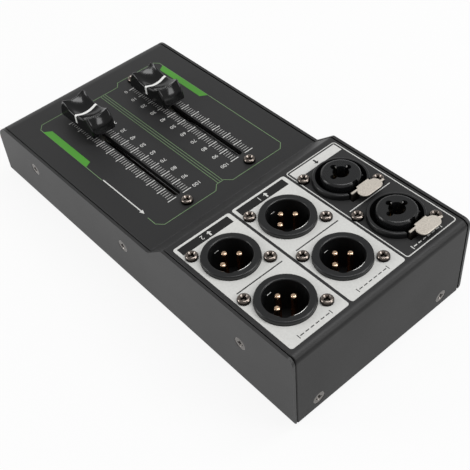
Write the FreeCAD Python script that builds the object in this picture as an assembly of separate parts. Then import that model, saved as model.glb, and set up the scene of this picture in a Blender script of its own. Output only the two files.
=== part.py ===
import FreeCAD, Part
import math
import os

# Passive volume controller: a bent steel desktop case with two slide faders, two combination
# input sockets and four male output sockets.
# X runs across the case, Y from the user's end (faders) to the socket end, Z up.
# The origin is at the centre of the footprint, on the surface that the feet stand on.
# All lengths are in millimetres and all angles in degrees.

# Case: the width and length follow from the sockets and faders that it holds
sheet = 1.2
seam = 0.4
front_height = 27.3
step_run = 9.3
step_rise = 8.0
panel_slope = 0.75
front_bend = 7.4
crease_bend = 1.5
crest_bend = 2.0
rear_bend = 2.8
tray_bend = 2.0
lip_height = 10.0
lip_side_gap = 1.0
contact_gap = 0.1
edge_round = 0.6
flange_end_gap = 6.0
flange_margin = 5.0

# Feet
foot_radius = 5.0
foot_height = 2.0
foot_inset_x = 12.0
foot_inset_y = 15.0

# Machine screws: the first two side screws are placed from the front, the third from the crest
screw_radius = 1.45
screw_clearance = 0.15
thread_clearance = 0.03
head_radius = 2.5
head_height = 1.7
head_round = 1.0
sink_radius = 2.75
sink_depth = 0.12
recess_span = 3.0
recess_slot = 0.7
recess_core = 0.9
recess_taper = 0.45
recess_depth = 0.9
short_screw = 5.0
long_screw = 8.0
front_side_screw_run = 28.0
middle_side_screw_run = 91.7
rear_side_screw_run = 42.4
front_side_screw_height = 18.3
rear_side_screw_height = 22.0
end_screw_inset = 12.2
end_screw_height = 4.8

# Slide faders
fader_x = 16.6
fader_front_gap = 7.3
fader_rear_gap = 6.3
travel = 60.0
right_fader_setting = 0.044
left_fader_setting = 0.149
slot_side_gap = 0.9
slot_end_gap = 2.5
frame_width = 13.0
frame_height = 11.0
frame_wall = 0.8
frame_slot_gap = 0.7
lug_length = 7.0
lug_screw_place = 2.5
rail_radius = 1.0
rail_wall = 0.8
rail_fit = 0.06
carriage_length = 12.0
carriage_height = 4.0
carriage_gap = 0.3
carriage_end_gap = 0.7
carriage_boss_width = 4.6
carriage_boss_length = 8.0
carriage_boss_height = 1.6
carriage_boss_gap = 0.6
lever_thickness = 1.2
lever_width = 4.0
lever_seat = 1.6
lever_cover = 1.4
track_thickness = 1.2
wiper_plate = 0.2
wiper_finger_width = 0.8
wiper_finger_run = 3.6
wiper_gap = 0.15
terminal_radius = 0.4
terminal_pitch = 3.0
terminal_inset = 3.5

# Fader knob: heights are above the panel, lengths from the index line
knob_half_width = 5.7
knob_gap = 1.7
knob_foot_length = 12.8
knob_ridge_length = 9.35
knob_ridge_height = 12.3
knob_waist_height = 9.45
knob_sag = 1.8
knob_hollow = 0.5
knob_ridge_round = 0.45
knob_face_bulge = 0.8
knob_edge_round = 1.15
index_width = 1.3
index_depth = 0.5
index_foot = 5.1

# Socket rows and columns
column_x = 0.5
column_gap = 2.1
row_gap = 2.2
row_front_gap = 7.65
row_rear_gap = 7.45
socket_side_gap = 0.6
ring_radius = 11.0
panel_hole_gap = 0.15
socket_flange_margin = 2.0
socket_flange_thickness = 2.6
socket_flange_round = 2.0
socket_screw_inset_x = 3.06
socket_screw_inset_y = 2.93
boss_radius = 2.9
boss_end_gap = 1.4
board_floor_gap = 3.54
board_thickness = 1.6
board_hole_gap = 0.1
tail_length = 1.4

# Male output sockets
male_ring_height = 1.8
male_cavity_radius = 8.15
male_cavity_depth = 16.0
male_mouth_round = 0.6
male_notch_radius = 2.4
male_notch_reach = 0.9
male_notch_depth = 1.0
male_wall = 2.25
male_floor = 2.0
male_pedestal_radius = 8.0
pin_circle = 3.95
pin_radius = 1.2
pin_tip_depth = 0.3
pin_tail_radius = 0.6
key_width = 2.2
key_depth = 1.2
key_stop = 3.0

# Combination input sockets
combo_rim_height = 2.4
combo_rim_wall = 1.1
combo_insert_radius = 7.85
combo_insert_height = 4.5
combo_insert_round = 1.3
combo_groove_depth = 13.0
combo_body_wall = 1.9
combo_lower_wall = 2.35
combo_core_radius = 7.2
combo_core_gap = 0.05
jack_bore_radius = 3.25
lobe_radius = 1.6
lobe_mouth_radius = 1.25
lobe_lip = 1.5
lobe_depth = 15.2
clip_wall = 0.35
clip_top = 5.2
clip_bore_gap = 0.15
strip_thickness = 0.4
strip_width = 2.2
strip_clear = 0.15
strip_tops = (-6.0, -19.0, -25.0)
strip_angles = (45.0, 90.0, 135.0)
insert_key_width = 2.6
insert_key_depth = 0.9
insert_rib_radius = 0.5
insert_rib_angle = 141.0
insert_rib_height = 2.0

# Latch of an input socket: X places are from the socket's centre line
latch_pivot_gap = 1.1
latch_pivot_depth = 2.7
plate_underside = 2.6
plate_thickness = 0.8
plate_insert_gap = 1.1
plate_length_y = 6.55
plate_left_x = -7.9
plate_right_x = 3.1
plate_corner = 2.6
plate_screw_gap = 0.3
plate_edge_round = 0.25
strip_left_x = -5.3
strip_right_x = 1.1
strip_lead = 1.0
prong_reach = 1.5
prong_width = 0.9
prong_place = 4.35
tail_right_x = 5.0
tail_width = 0.8
blade_gap = 0.1
blade_left_x = 1.0
blade_depth = 8.0
blade_travel = 0.8
hook_reach = 0.9
hook_height = 1.8
web_thickness = 0.8
web_left_x = -4.5
web_right_x = 0.3
barrel_radius = 1.1
latch_pin_radius = 0.5
latch_pin_fit = 0.05
latch_pin_seat = 1.4
pocket_gap = 0.3
latch_spring_wall = 0.15
latch_spring_width = 2.2
latch_spring_height = 2.6

# Boards and the cable between them
fader_board_gap = 1.8
fader_board_side_margin = 2.9
fader_board_end_margin = 2.5
board_side_gap = 1.0
socket_board_front_margin = 4.65
socket_board_rear_margin = 2.65
plug_length_x = 16.0
plug_width = 5.0
plug_height = 6.0
plug_edge_gap = 1.0
cable_width = 12.7
cable_thickness = 0.9
cable_bend = 2.5
cable_height = 4.4

# Worked out from the sizes above: faders along their panel
slot_length = travel + lever_width + 2 * slot_end_gap
slot_width = lever_thickness + 2 * slot_side_gap
frame_slot = lever_thickness + 2 * frame_slot_gap
frame_length = travel + carriage_length + 2 * (frame_wall + carriage_end_gap)
screw_pitch = frame_length + 2 * lug_screw_place
fader_reach = frame_length / 2 + lug_length
fader_centre = front_bend + fader_front_gap + fader_reach
fader_panel_run = fader_centre + fader_reach + fader_rear_gap
right_fader_rest = (right_fader_setting - 0.5) * travel
left_fader_rest = (left_fader_setting - 0.5) * travel
rail_x = frame_width / 2 - frame_wall - carriage_gap - rail_radius - rail_wall
rail_depth = frame_wall + carriage_boss_gap + carriage_boss_height + carriage_height / 2
knob_foot = head_height + knob_gap
lever_top = knob_waist_height - knob_sag - lever_cover

# Sockets along and across their panel
socket_flange = 2 * (ring_radius + socket_flange_margin)
socket_screw_x = socket_flange / 2 - socket_screw_inset_x
socket_screw_y = socket_flange / 2 - socket_screw_inset_y
column_pitch = socket_flange + column_gap
row_pitch = socket_flange + row_gap
first_row = socket_flange / 2 + row_front_gap
socket_panel_run = first_row + row_pitch + socket_flange / 2 + row_rear_gap
row_places = (first_row, first_row + row_pitch)
column_places = (column_x - column_pitch, column_x, column_x + column_pitch)
male_body_radius = male_cavity_radius + male_wall
combo_groove_radius = ring_radius - combo_rim_wall
combo_body_radius = combo_groove_radius + combo_body_wall
combo_lower_radius = combo_core_radius + combo_core_gap + combo_lower_wall
plate_inner_y = combo_insert_radius + plate_insert_gap
plate_outer_y = plate_inner_y + plate_length_y
latch_pivot_y = ring_radius + latch_pivot_gap
blade_y = combo_groove_radius + blade_gap
pocket_back = blade_y + tail_width + blade_travel

# Case round them
half_width = column_x + column_pitch + socket_flange / 2 + socket_side_gap + 2 * sheet + seam
case_width = 2 * half_width
case_length = fader_panel_run + step_run + socket_panel_run
half_length = case_length / 2
slope_rise = math.tan(math.radians(panel_slope))
wall_inside = half_width - sheet
cover_half_width = wall_inside - seam
flange_inside = cover_half_width - sheet
floor_top = foot_height + sheet
crease_y = fader_panel_run - half_length
crest_y = crease_y + step_run
front_top_z = foot_height + front_height
crease_z = front_top_z + slope_rise * fader_panel_run
crest_z = crease_z + step_rise
rear_top_z = crest_z + slope_rise * (half_length - crest_y)
end_screw_x = half_width - end_screw_inset

# Boards
fader_board_depth = sheet + frame_height + fader_board_gap
terminal_length = fader_board_gap + board_thickness + tail_length
fader_board_half_width = fader_x + frame_width / 2 + fader_board_side_margin
fader_board_start = fader_centre - fader_reach - fader_board_end_margin
fader_board_end = fader_centre + fader_reach + fader_board_end_margin
board_depth = crest_z - floor_top - board_floor_gap - board_thickness - tail_length
socket_board_half_width = flange_inside - board_side_gap
socket_board_start = first_row - socket_flange / 2 - socket_board_front_margin
socket_board_end = first_row + row_pitch + socket_flange / 2 + socket_board_rear_margin
front_plug_place = fader_board_end - plug_width / 2 - fader_board_end_margin
rear_plug_place = socket_board_start + plug_width / 2 + plug_edge_gap


def vec(x, y, z):
    return FreeCAD.Vector(x, y, z)


def box(x0, x1, y0, y1, z0, z1):
    """Block between two corners."""
    return Part.makeBox(x1 - x0, y1 - y0, z1 - z0, vec(x0, y0, z0))


def rod(radius, x, y, z0, z1):
    """Upright cylinder."""
    return Part.makeCylinder(radius, z1 - z0, vec(x, y, z0))


def save(name, shape):
    """Write one node, as one solid or as a group of separate solids."""
    solids = shape.Solids
    if len(solids) == 1:
        shape = solids[0]
    else:
        shape = Part.makeCompound(solids)
    shape.exportStep("parts/" + name + ".step")


def on_panel(shape, corner_y, corner_z, x, run):
    """Set a shape, made with Z square to a sloped panel, on that panel."""
    placed = shape.copy()
    slope = FreeCAD.Rotation(vec(1, 0, 0), panel_slope)
    y = corner_y + run * math.cos(math.radians(panel_slope))
    z = corner_z + run * math.sin(math.radians(panel_slope))
    placed.Placement = FreeCAD.Placement(vec(x, y, z), slope)
    return placed


def on_fader_panel(shape, x, run):
    return on_panel(shape, -half_length, front_top_z, x, run)


def on_socket_panel(shape, x, run):
    return on_panel(shape, crest_y, crest_z, x, run)


# Bent sheet profiles in the YZ plane

def unit(ay, az, by, bz):
    """Direction from one profile point to another."""
    length = math.hypot(by - ay, bz - az)
    return (by - ay) / length, (bz - az) / length


def offset_path(points, distance):
    """Path moved to its right hand side by a distance, with the corners kept sharp."""
    moved = []
    last = len(points) - 1
    for i, (y, z) in enumerate(points):
        before = unit(*points[max(i - 1, 0)], *points[max(i, 1)])
        after = unit(*points[min(i, last - 1)], *points[min(i + 1, last)])
        normal_y = before[1] + after[1]
        normal_z = -before[0] - after[0]
        scale = distance / (1 + before[0] * after[0] + before[1] * after[1])
        moved.append((y + normal_y * scale, z + normal_z * scale))
    return moved


def rounded_path(points, bends, x):
    """Edges of an open path whose inner corners are rounded by the given radii."""
    edges = []
    start = points[0]
    for i in range(1, len(points) - 1):
        corner = points[i]
        radius = bends[i - 1]
        into = unit(*points[i - 1], *corner)
        out = unit(*corner, *points[i + 1])
        turn = math.acos(into[0] * out[0] + into[1] * out[1])
        setback = radius * math.tan(turn / 2)
        arc_start = (corner[0] - into[0] * setback, corner[1] - into[1] * setback)
        arc_end = (corner[0] + out[0] * setback, corner[1] + out[1] * setback)
        middle = (out[0] - into[0], out[1] - into[1])
        reach = math.hypot(*middle)
        depth = radius / math.cos(turn / 2) - radius
        arc_middle = (corner[0] + middle[0] / reach * depth, corner[1] + middle[1] / reach * depth)
        edges.append(Part.makeLine(vec(x, *start), vec(x, *arc_start)))
        edges.append(Part.Arc(vec(x, *arc_start), vec(x, *arc_middle), vec(x, *arc_end)).toShape())
        start = arc_end
    edges.append(Part.makeLine(vec(x, *start), vec(x, *points[-1])))
    return edges


def bent_sheet(points, bends, thickness, x0, x1):
    """Sheet of even thickness whose outer face follows a path, with the metal to its right."""
    inner = offset_path(points, thickness)
    inner_bends = []
    for i, radius in enumerate(bends):
        into = unit(*points[i], *points[i + 1])
        out = unit(*points[i + 1], *points[i + 2])
        turns_right = into[0] * out[1] - into[1] * out[0] < 0
        inner_bends.append(radius - thickness if turns_right else radius + thickness)
    edges = rounded_path(points, bends, x0)
    edges += rounded_path(inner, inner_bends, x0)
    edges.append(Part.makeLine(vec(x0, *points[0]), vec(x0, *inner[0])))
    edges.append(Part.makeLine(vec(x0, *points[-1]), vec(x0, *inner[-1])))
    outline = Part.Wire(Part.sortEdges(edges)[0])
    return Part.Face(outline).extrude(vec(x1 - x0, 0, 0))


case_path = [
    (-half_length, foot_height),
    (-half_length, front_top_z),
    (crease_y, crease_z),
    (crest_y, crest_z),
    (half_length, rear_top_z),
    (half_length, foot_height),
]
case_bends = [front_bend, crease_bend, crest_bend, rear_bend]


# Fasteners

def star(scale, z):
    """Outline of a cross recess: four blunt points with the corners between them set in."""
    corners = []
    for quarter in range(4):
        for x, y in ((recess_span / 2, -recess_slot / 2), (recess_span / 2, recess_slot / 2),
                     (recess_core * math.sqrt(0.5), recess_core * math.sqrt(0.5))):
            corner = vec(scale * x, scale * y, z)
            corners.append(FreeCAD.Rotation(vec(0, 0, 1), 90 * quarter).multVec(corner))
    return Part.makePolygon(corners + corners[:1])


def recess(top):
    """Cross recess that narrows towards its bottom."""
    return Part.makeLoft([star(1, top), star(recess_taper, top - recess_depth)], True, True)


def pan_screw(length):
    """Screw with a domed head that is seated on the plane z = 0."""
    head = rod(head_radius, 0, 0, 0, head_height)
    rim = [e for e in head.Edges if abs(e.CenterOfMass.z - head_height) < 1e-6]
    head = head.makeFillet(head_round, rim).cut(recess(head_height))
    return head.fuse(rod(screw_radius, 0, 0, -length, 0)).removeSplitter()


def flat_screw(length):
    """Screw with a square cone head, sunk a little below the plane z = 0."""
    top_radius = sink_radius - sink_depth - thread_clearance
    cone_bottom = screw_radius - thread_clearance - top_radius - sink_depth
    head = Part.makeCone(screw_radius - thread_clearance, top_radius, -sink_depth - cone_bottom,
                         vec(0, 0, cone_bottom))
    head = head.cut(recess(-sink_depth))
    return head.fuse(rod(screw_radius, 0, 0, -length, cone_bottom)).removeSplitter()


def sink_hole():
    """Hole for a flat screw, widened like a cone at the plane z = 0."""
    hole_radius = screw_radius + screw_clearance
    cone_bottom = hole_radius - sink_radius
    cone = Part.makeCone(hole_radius, sink_radius, -cone_bottom, vec(0, 0, cone_bottom))
    return cone.fuse(rod(hole_radius, 0, 0, -2 * sheet, cone_bottom)).fuse(rod(sink_radius, 0, 0, 0, sheet))


def turned(shape, axis, angle, place):
    """Copy of a shape turned about an axis through the origin, then moved."""
    moved = shape.copy()
    moved.rotate(vec(0, 0, 0), axis, angle)
    moved.translate(place)
    return moved


def side_screw_places():
    """Side, Y and Z of the screws in both walls."""
    places = []
    for side in (-1, 1):
        for run in (front_side_screw_run, middle_side_screw_run):
            places.append((side, run - half_length, foot_height + front_side_screw_height))
        places.append((side, crest_y + rear_side_screw_run, foot_height + rear_side_screw_height))
    return places


def side_screws():
    solids = []
    for side, y, z in side_screw_places():
        solids.append(turned(flat_screw(short_screw), vec(0, 1, 0), 90 * side,
                             vec(side * half_width, y, z)))
    return Part.makeCompound(solids)


def end_screws():
    solids = []
    for side in (-1, 1):
        for x in (-end_screw_x, end_screw_x):
            place = vec(x, side * half_length, foot_height + end_screw_height)
            solids.append(turned(flat_screw(short_screw), vec(1, 0, 0), -90 * side, place))
    return Part.makeCompound(solids)


def fader_screws():
    solids = []
    for x in (-fader_x, fader_x):
        for end in (-1, 1):
            solids.append(on_fader_panel(pan_screw(short_screw), x, fader_centre + end * screw_pitch / 2))
    return Part.makeCompound(solids)


def socket_screws():
    solids = []
    for x in column_places:
        for run in row_places:
            for side in (-1, 1):
                solids.append(on_socket_panel(pan_screw(long_screw), x + side * socket_screw_x,
                                              run - side * socket_screw_y))
    return Part.makeCompound(solids)


# Case

def case_block():
    """Solid of the case's side outline, as wide as the case."""
    edges = rounded_path(case_path, case_bends, -half_width)
    edges.append(Part.makeLine(vec(-half_width, *case_path[-1]), vec(-half_width, *case_path[0])))
    return Part.Face(Part.Wire(edges)).extrude(vec(case_width, 0, 0))


def tray_lip():
    """Upturned lip at the rear end of the tray's floor."""
    face_y = half_length - sheet - contact_gap
    path = [(face_y, foot_height + lip_height), (face_y, foot_height),
            (face_y - 2 * tray_bend, foot_height)]
    lip_half = cover_half_width - lip_side_gap
    return bent_sheet(path, [tray_bend], sheet, -lip_half, lip_half)


def bottom_tray():
    """Floor, both side walls and an upturned lip at each end."""
    path = [(half_width, rear_top_z), (half_width, foot_height), (-half_width, foot_height),
            (-half_width, rear_top_z)]
    tray = bent_sheet(path, [tray_bend, tray_bend], sheet, -half_length, half_length)
    tray.rotate(vec(0, 0, 0), vec(0, 0, 1), 90)
    tray = tray.common(case_block())
    floor_end = half_length - sheet - contact_gap - tray_bend
    for end in (-1, 1):
        near = min(end * floor_end, end * half_length)
        far = max(end * floor_end, end * half_length)
        tray = tray.cut(box(-wall_inside, wall_inside, near, far, 0, foot_height + lip_height))
        lip = tray_lip()
        if end < 0:
            lip = lip.mirror(vec(0, 0, 0), vec(0, 1, 0))
        tray = tray.fuse(lip)
    for side, y, z in side_screw_places():
        tray = tray.cut(turned(sink_hole(), vec(0, 1, 0), 90 * side, vec(side * half_width, y, z)))
    for end in (-1, 1):
        for x in (-end_screw_x, end_screw_x):
            tray = tray.cut(Part.makeCylinder(screw_radius + thread_clearance, 4 * sheet,
                                              vec(x, end * half_length, foot_height + end_screw_height),
                                              vec(0, -end, 0)))
    return tray.removeSplitter()


def side_flange(side, start, end, depth):
    """Flange folded down from a panel's edge, in the panel's own frame."""
    outer = side * cover_half_width
    inner = side * flange_inside
    return box(min(inner, outer), max(inner, outer), start, end, -depth, -sheet / 2)


def top_cover():
    """Front face, fader panel, step, socket panel and rear face, bent from one sheet."""
    cover = bent_sheet(case_path, case_bends, sheet, -cover_half_width, cover_half_width)
    front_start = front_bend + flange_end_gap
    front_end = fader_panel_run - flange_end_gap
    rear_end = socket_panel_run - flange_end_gap
    front_depth = front_height - front_side_screw_height + flange_margin
    rear_depth = crest_z - foot_height - rear_side_screw_height + flange_margin
    for side in (-1, 1):
        cover = cover.fuse(on_fader_panel(side_flange(side, front_start, front_end, front_depth), 0, 0))
        cover = cover.fuse(on_socket_panel(side_flange(side, flange_end_gap, rear_end, rear_depth), 0, 0))
    cover = cover.removeSplitter()
    rims = [e for e in cover.Edges if on_cover_rim(e)]
    cover = cover.makeFillet(edge_round, rims)
    for x in (-fader_x, fader_x):
        cover = cover.cut(on_fader_panel(fader_opening(), x, fader_centre))
    for i, x in enumerate(column_places):
        for run in row_places:
            cover = cover.cut(on_socket_panel(socket_opening(i == 0), x, run))
    for side, y, z in side_screw_places():
        cover = cover.cut(Part.makeCylinder(screw_radius + thread_clearance, 4 * sheet,
                                            vec(side * half_width, y, z), vec(-side, 0, 0)))
    for end in (-1, 1):
        for x in (-end_screw_x, end_screw_x):
            place = vec(x, end * half_length, foot_height + end_screw_height)
            cover = cover.cut(turned(sink_hole(), vec(1, 0, 0), -90 * end, place))
    return cover


def on_cover_rim(edge):
    """True for the edges along both sides of the cover's outer face."""
    if abs(abs(edge.BoundBox.Center.x) - cover_half_width) > 1e-4 or edge.BoundBox.XLength > 1e-4:
        return False
    middle = edge.valueAt((edge.FirstParameter + edge.LastParameter) / 2)
    return any(piece.distToShape(Part.Vertex(vec(-half_width, middle.y, middle.z)))[0] < 1e-4
               for piece in rounded_path(case_path, case_bends, -half_width))


def slot_hole(length, width, depth):
    """Long hole with round ends along Y, cut down from just above z = 0."""
    half = length / 2 - width / 2
    hole = box(-width / 2, width / 2, -half, half, -depth, depth)
    for end in (-half, half):
        hole = hole.fuse(rod(width / 2, 0, end, -depth, depth))
    return hole


def fader_opening():
    """Slot for the lever and holes for the two fixing screws of a fader."""
    cut = slot_hole(slot_length, slot_width, 2 * sheet)
    for end in (-1, 1):
        cut = cut.fuse(rod(screw_radius + screw_clearance, 0, end * screw_pitch / 2, -2 * sheet, 2 * sheet))
    return cut


def socket_opening(with_latch):
    """Round hole and screw holes of a socket, with a notch for the latch of an input socket."""
    cut = rod(ring_radius + panel_hole_gap, 0, 0, -2 * sheet, 2 * sheet)
    for side in (-1, 1):
        cut = cut.fuse(rod(screw_radius + screw_clearance, side * socket_screw_x, -side * socket_screw_y,
                           -2 * sheet, 2 * sheet))
    if with_latch:
        cut = cut.fuse(box(web_left_x - pocket_gap, web_right_x + pocket_gap, 0,
                           latch_pivot_y + web_thickness / 2 + pocket_gap, -2 * sheet, 2 * sheet))
        cut = cut.fuse(box(0, tail_right_x + pocket_gap, 0, pocket_back, -2 * sheet, 2 * sheet))
    return cut


def rubber_feet():
    feet = []
    for x in (-half_width + foot_inset_x, half_width - foot_inset_x):
        for y in (-half_length + foot_inset_y, half_length - foot_inset_y):
            foot = rod(foot_radius, x, y, 0, foot_height)
            rim = [e for e in foot.Edges if abs(e.CenterOfMass.z) < 1e-6]
            feet.append(foot.makeFillet(foot_height / 4, rim))
    return Part.makeCompound(feet)


# Slide fader, in its own frame: Y along the travel, z = 0 on the panel's outer face

frame_top = -sheet
frame_bottom = frame_top - frame_height
frame_inside = frame_width / 2 - frame_wall
rail_z = frame_top - rail_depth
carriage_bottom = rail_z - carriage_height / 2
carriage_top = rail_z + carriage_height / 2
track_top = frame_bottom + track_thickness
terminal_y = frame_length / 2 - terminal_inset
lever_bottom = rail_z - lever_seat


def rod_along_y(radius, x, z, y0, y1):
    return Part.makeCylinder(radius, y1 - y0, vec(x, y0, z), vec(0, 1, 0))


def rod_along_x(radius, y, z, x0, x1):
    return Part.makeCylinder(radius, x1 - x0, vec(x0, y, z), vec(1, 0, 0))


def fader_frame():
    """Folded can with a lug at each end, a slot for the lever and seats for the guide rails."""
    half = frame_length / 2
    half_x = frame_width / 2
    frame = box(-half_x, half_x, -half, half, frame_bottom, frame_top)
    frame = frame.cut(box(-frame_inside, frame_inside, -half + frame_wall, half - frame_wall,
                          frame_bottom, frame_top - frame_wall))
    reach = half + lug_length
    frame = frame.fuse(box(-half_x, half_x, -reach, reach, frame_top - frame_wall, frame_top))
    slot_half = travel / 2 + lever_width
    frame = frame.cut(box(-frame_slot / 2, frame_slot / 2, -slot_half, slot_half,
                          frame_top - 2 * frame_wall, frame_top))
    for x in (-rail_x, rail_x):
        frame = frame.cut(rod_along_y(rail_radius, x, rail_z, -half, half))
    for end in (-1, 1):
        frame = frame.cut(rod(screw_radius + thread_clearance, 0, end * screw_pitch / 2,
                              frame_top - 2 * frame_wall, frame_top))
    return frame.removeSplitter()


def fader_rails():
    half = frame_length / 2
    rails = [rod_along_y(rail_radius, x, rail_z, -half, half) for x in (-rail_x, rail_x)]
    return Part.makeCompound(rails)


def fader_track():
    """Resistor board that closes the frame from below."""
    half_x = frame_inside - contact_gap
    half_y = frame_length / 2 - frame_wall - contact_gap
    return box(-half_x, half_x, -half_y, half_y, frame_bottom, track_top)


def fader_terminals():
    pins = []
    for y in (-terminal_y, terminal_y):
        for x in (-terminal_pitch, 0, terminal_pitch):
            pins.append(rod(terminal_radius, x, y, frame_bottom - terminal_length, frame_bottom))
    return Part.makeCompound(pins)


def lever_blade(z0, z1):
    return box(-lever_thickness / 2, lever_thickness / 2, -lever_width / 2, lever_width / 2, z0, z1)


def fader_carriage():
    """Plastic slider that rides on both rails and holds the lever."""
    half_x = frame_inside - carriage_gap
    half_y = carriage_length / 2
    block = box(-half_x, half_x, -half_y, half_y, carriage_bottom, carriage_top)
    boss_x = carriage_boss_width / 2
    boss_y = carriage_boss_length / 2
    block = block.fuse(box(-boss_x, boss_x, -boss_y, boss_y, carriage_top - carriage_height / 2,
                           carriage_top + carriage_boss_height))
    for x in (-rail_x, rail_x):
        block = block.cut(rod_along_y(rail_radius + rail_fit, x, rail_z, -half_y, half_y))
    block = block.cut(lever_blade(lever_bottom, carriage_top + carriage_boss_height))
    return block.removeSplitter()


def fader_lever():
    return lever_blade(lever_bottom, lever_top)


def fader_wiper():
    """Spring plate under the carriage with four fingers that reach down to the tracks."""
    half_x = frame_inside - carriage_gap - rail_fit
    half_y = carriage_length / 4
    wiper = box(-half_x, half_x, -half_y, half_y, carriage_bottom - wiper_plate, carriage_bottom)
    tip = track_top + wiper_gap
    for i in range(4):
        x = (i - 1.5) * half_x / 2 - wiper_finger_width / 2
        corners = [vec(x, half_y - wiper_plate, carriage_bottom - wiper_plate / 2),
                   vec(x, half_y, carriage_bottom - wiper_plate / 2),
                   vec(x, half_y - wiper_finger_run + wiper_plate, tip),
                   vec(x, half_y - wiper_finger_run, tip)]
        finger = Part.Face(Part.makePolygon(corners + corners[:1]))
        wiper = wiper.fuse(finger.extrude(vec(wiper_finger_width, 0, 0)))
    return wiper.removeSplitter()


def knob_section(x, half_x, shrink):
    """Side profile of the knob at one place across its width, like a shallow M."""
    middle = 1 - (x / half_x) ** 2
    top = knob_ridge_height - knob_sag * middle - shrink
    waist = top - knob_ridge_height + knob_waist_height
    foot_end = knob_foot_length - knob_hollow * middle - shrink
    ridge = knob_ridge_length - knob_hollow * middle - shrink
    outer = ridge + knob_ridge_round
    inner = ridge - knob_ridge_round
    outer_z = top - knob_ridge_round
    inner_z = top - knob_ridge_round / 2
    face_y = (outer + foot_end) / 2 + knob_face_bulge
    face_z = (outer_z + knob_foot) / 2
    arcs = [
        ((foot_end, knob_foot), (face_y, face_z), (outer, outer_z)),
        ((outer, outer_z), (ridge, top), (inner, inner_z)),
        ((inner, inner_z), (0, waist), (-inner, inner_z)),
        ((-inner, inner_z), (-ridge, top), (-outer, outer_z)),
        ((-outer, outer_z), (-face_y, face_z), (-foot_end, knob_foot)),
    ]
    edges = [Part.makeLine(vec(x, -foot_end, knob_foot), vec(x, foot_end, knob_foot))]
    for start, middle, end in arcs:
        edges.append(Part.Arc(vec(x, *start), vec(x, *middle), vec(x, *end)).toShape())
    return Part.Wire(edges)


def knob_body(shrink):
    """Saddle shaped body with rounded long edges, made smaller all round by an amount."""
    half_x = knob_half_width - shrink
    places = [(u * half_x, shrink) for u in (-0.4, 0, 0.4)]
    for side in (-1, 1):
        for angle in (0, 30, 60, 90):
            turn = math.radians(angle)
            x = side * (half_x - knob_edge_round * (1 - math.sin(turn)))
            places.append((x, shrink + knob_edge_round * (1 - math.cos(turn))))
    sections = [knob_section(x, half_x, inset) for x, inset in sorted(places)]
    return Part.makeLoft(sections, True, False)


def index_bed():
    """Thin slab across the middle of the knob, from the foot of the index line upwards."""
    half = index_width / 2
    return box(-2 * knob_half_width, 2 * knob_half_width, -half, half, index_foot, 2 * knob_ridge_height)


def fader_knob():
    knob = knob_body(0).cut(fader_index())
    return knob.cut(lever_blade(knob_foot, lever_top)).removeSplitter()


def fader_index():
    """White line let into the top and both flanks of the knob."""
    strip = knob_body(0).common(index_bed())
    return strip.cut(knob_body(index_depth))


# Sockets, in their own frame: z = 0 on the panel's outer face

flange_top = -sheet
flange_bottom = flange_top - socket_flange_thickness
board_top = -board_depth
board_bottom = board_top - board_thickness
pin_angles = (0, 180, 270)
key_angle = 45


def around(radius, angle):
    """Place on a circle."""
    return radius * math.cos(math.radians(angle)), radius * math.sin(math.radians(angle))


def socket_base(ring_height, body_radius, body_bottom):
    """Flange with screw bosses, a ring that stands through the panel and a round body below."""
    half = socket_flange / 2
    flange = box(-half, half, -half, half, flange_bottom, flange_top)
    corners = [e for e in flange.Edges if e.BoundBox.ZLength > socket_flange_thickness / 2]
    base = flange.makeFillet(socket_flange_round, corners)
    ring = rod(ring_radius, 0, 0, flange_bottom, ring_height)
    rim = [e for e in ring.Edges if abs(e.CenterOfMass.z - ring_height) < 1e-6]
    base = base.fuse(ring.makeFillet(edge_round, rim))
    base = base.fuse(rod(body_radius, 0, 0, body_bottom, flange_bottom))
    for side in (-1, 1):
        x = side * socket_screw_x
        y = -side * socket_screw_y
        boss_bottom = -long_screw - boss_end_gap
        base = base.fuse(rod(boss_radius, x, y, boss_bottom, flange_bottom))
        base = base.cut(rod(screw_radius + thread_clearance, x, y, boss_bottom, flange_top))
    return base


male_floor_top = male_ring_height - male_cavity_depth
male_floor_bottom = male_floor_top - male_floor


def male_socket():
    """Housing of a male output socket with its key rib and the notch in its rounded mouth."""
    socket = socket_base(male_ring_height, male_body_radius, male_floor_bottom)
    socket = socket.cut(rod(male_cavity_radius, 0, 0, male_floor_top, male_ring_height))
    mouth = [e for e in socket.Edges if abs(e.BoundBox.XLength - 2 * male_cavity_radius) < 1e-3
             and abs(e.CenterOfMass.z - male_ring_height) < 1e-6]
    socket = socket.makeFillet(male_mouth_round, mouth)
    x, y = around(male_cavity_radius + male_notch_reach - male_notch_radius, key_angle)
    socket = socket.cut(rod(male_notch_radius, x, y, male_ring_height - male_notch_depth,
                            male_ring_height))
    socket = socket.fuse(rod(male_pedestal_radius, 0, 0, board_top, male_floor_bottom))
    key = box(male_cavity_radius - key_depth, male_cavity_radius + key_depth,
              -key_width / 2, key_width / 2, male_floor_top, -key_stop)
    key.rotate(vec(0, 0, 0), vec(0, 0, 1), key_angle)
    socket = socket.fuse(key)
    for angle in pin_angles:
        x, y = around(pin_circle, angle)
        socket = socket.cut(rod(pin_radius, x, y, male_floor_bottom, male_floor_top))
        socket = socket.cut(rod(pin_tail_radius, x, y, board_top, male_floor_bottom))
    return socket.removeSplitter()


def male_pins():
    """Three contact pins with their solder tails."""
    pins = []
    for angle in pin_angles:
        x, y = around(pin_circle, angle)
        pin = rod(pin_radius, x, y, male_floor_bottom, -pin_tip_depth)
        tip = [e for e in pin.Edges if abs(e.CenterOfMass.z + pin_tip_depth) < 1e-6]
        pin = pin.makeFillet(pin_radius * 0.6, tip)
        pins.append(pin.fuse(rod(pin_tail_radius, x, y, board_bottom - tail_length, male_floor_bottom)))
    return Part.makeCompound(pins)


combo_floor = -combo_groove_depth
lobe_floor = combo_insert_height - lobe_depth
clip_tail_radius = clip_wall + 0.1
clip_tail_circle = pin_circle + lobe_radius - clip_tail_radius - contact_gap
strip_inner = jack_bore_radius + strip_clear
strip_outer = strip_inner + strip_thickness


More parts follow.
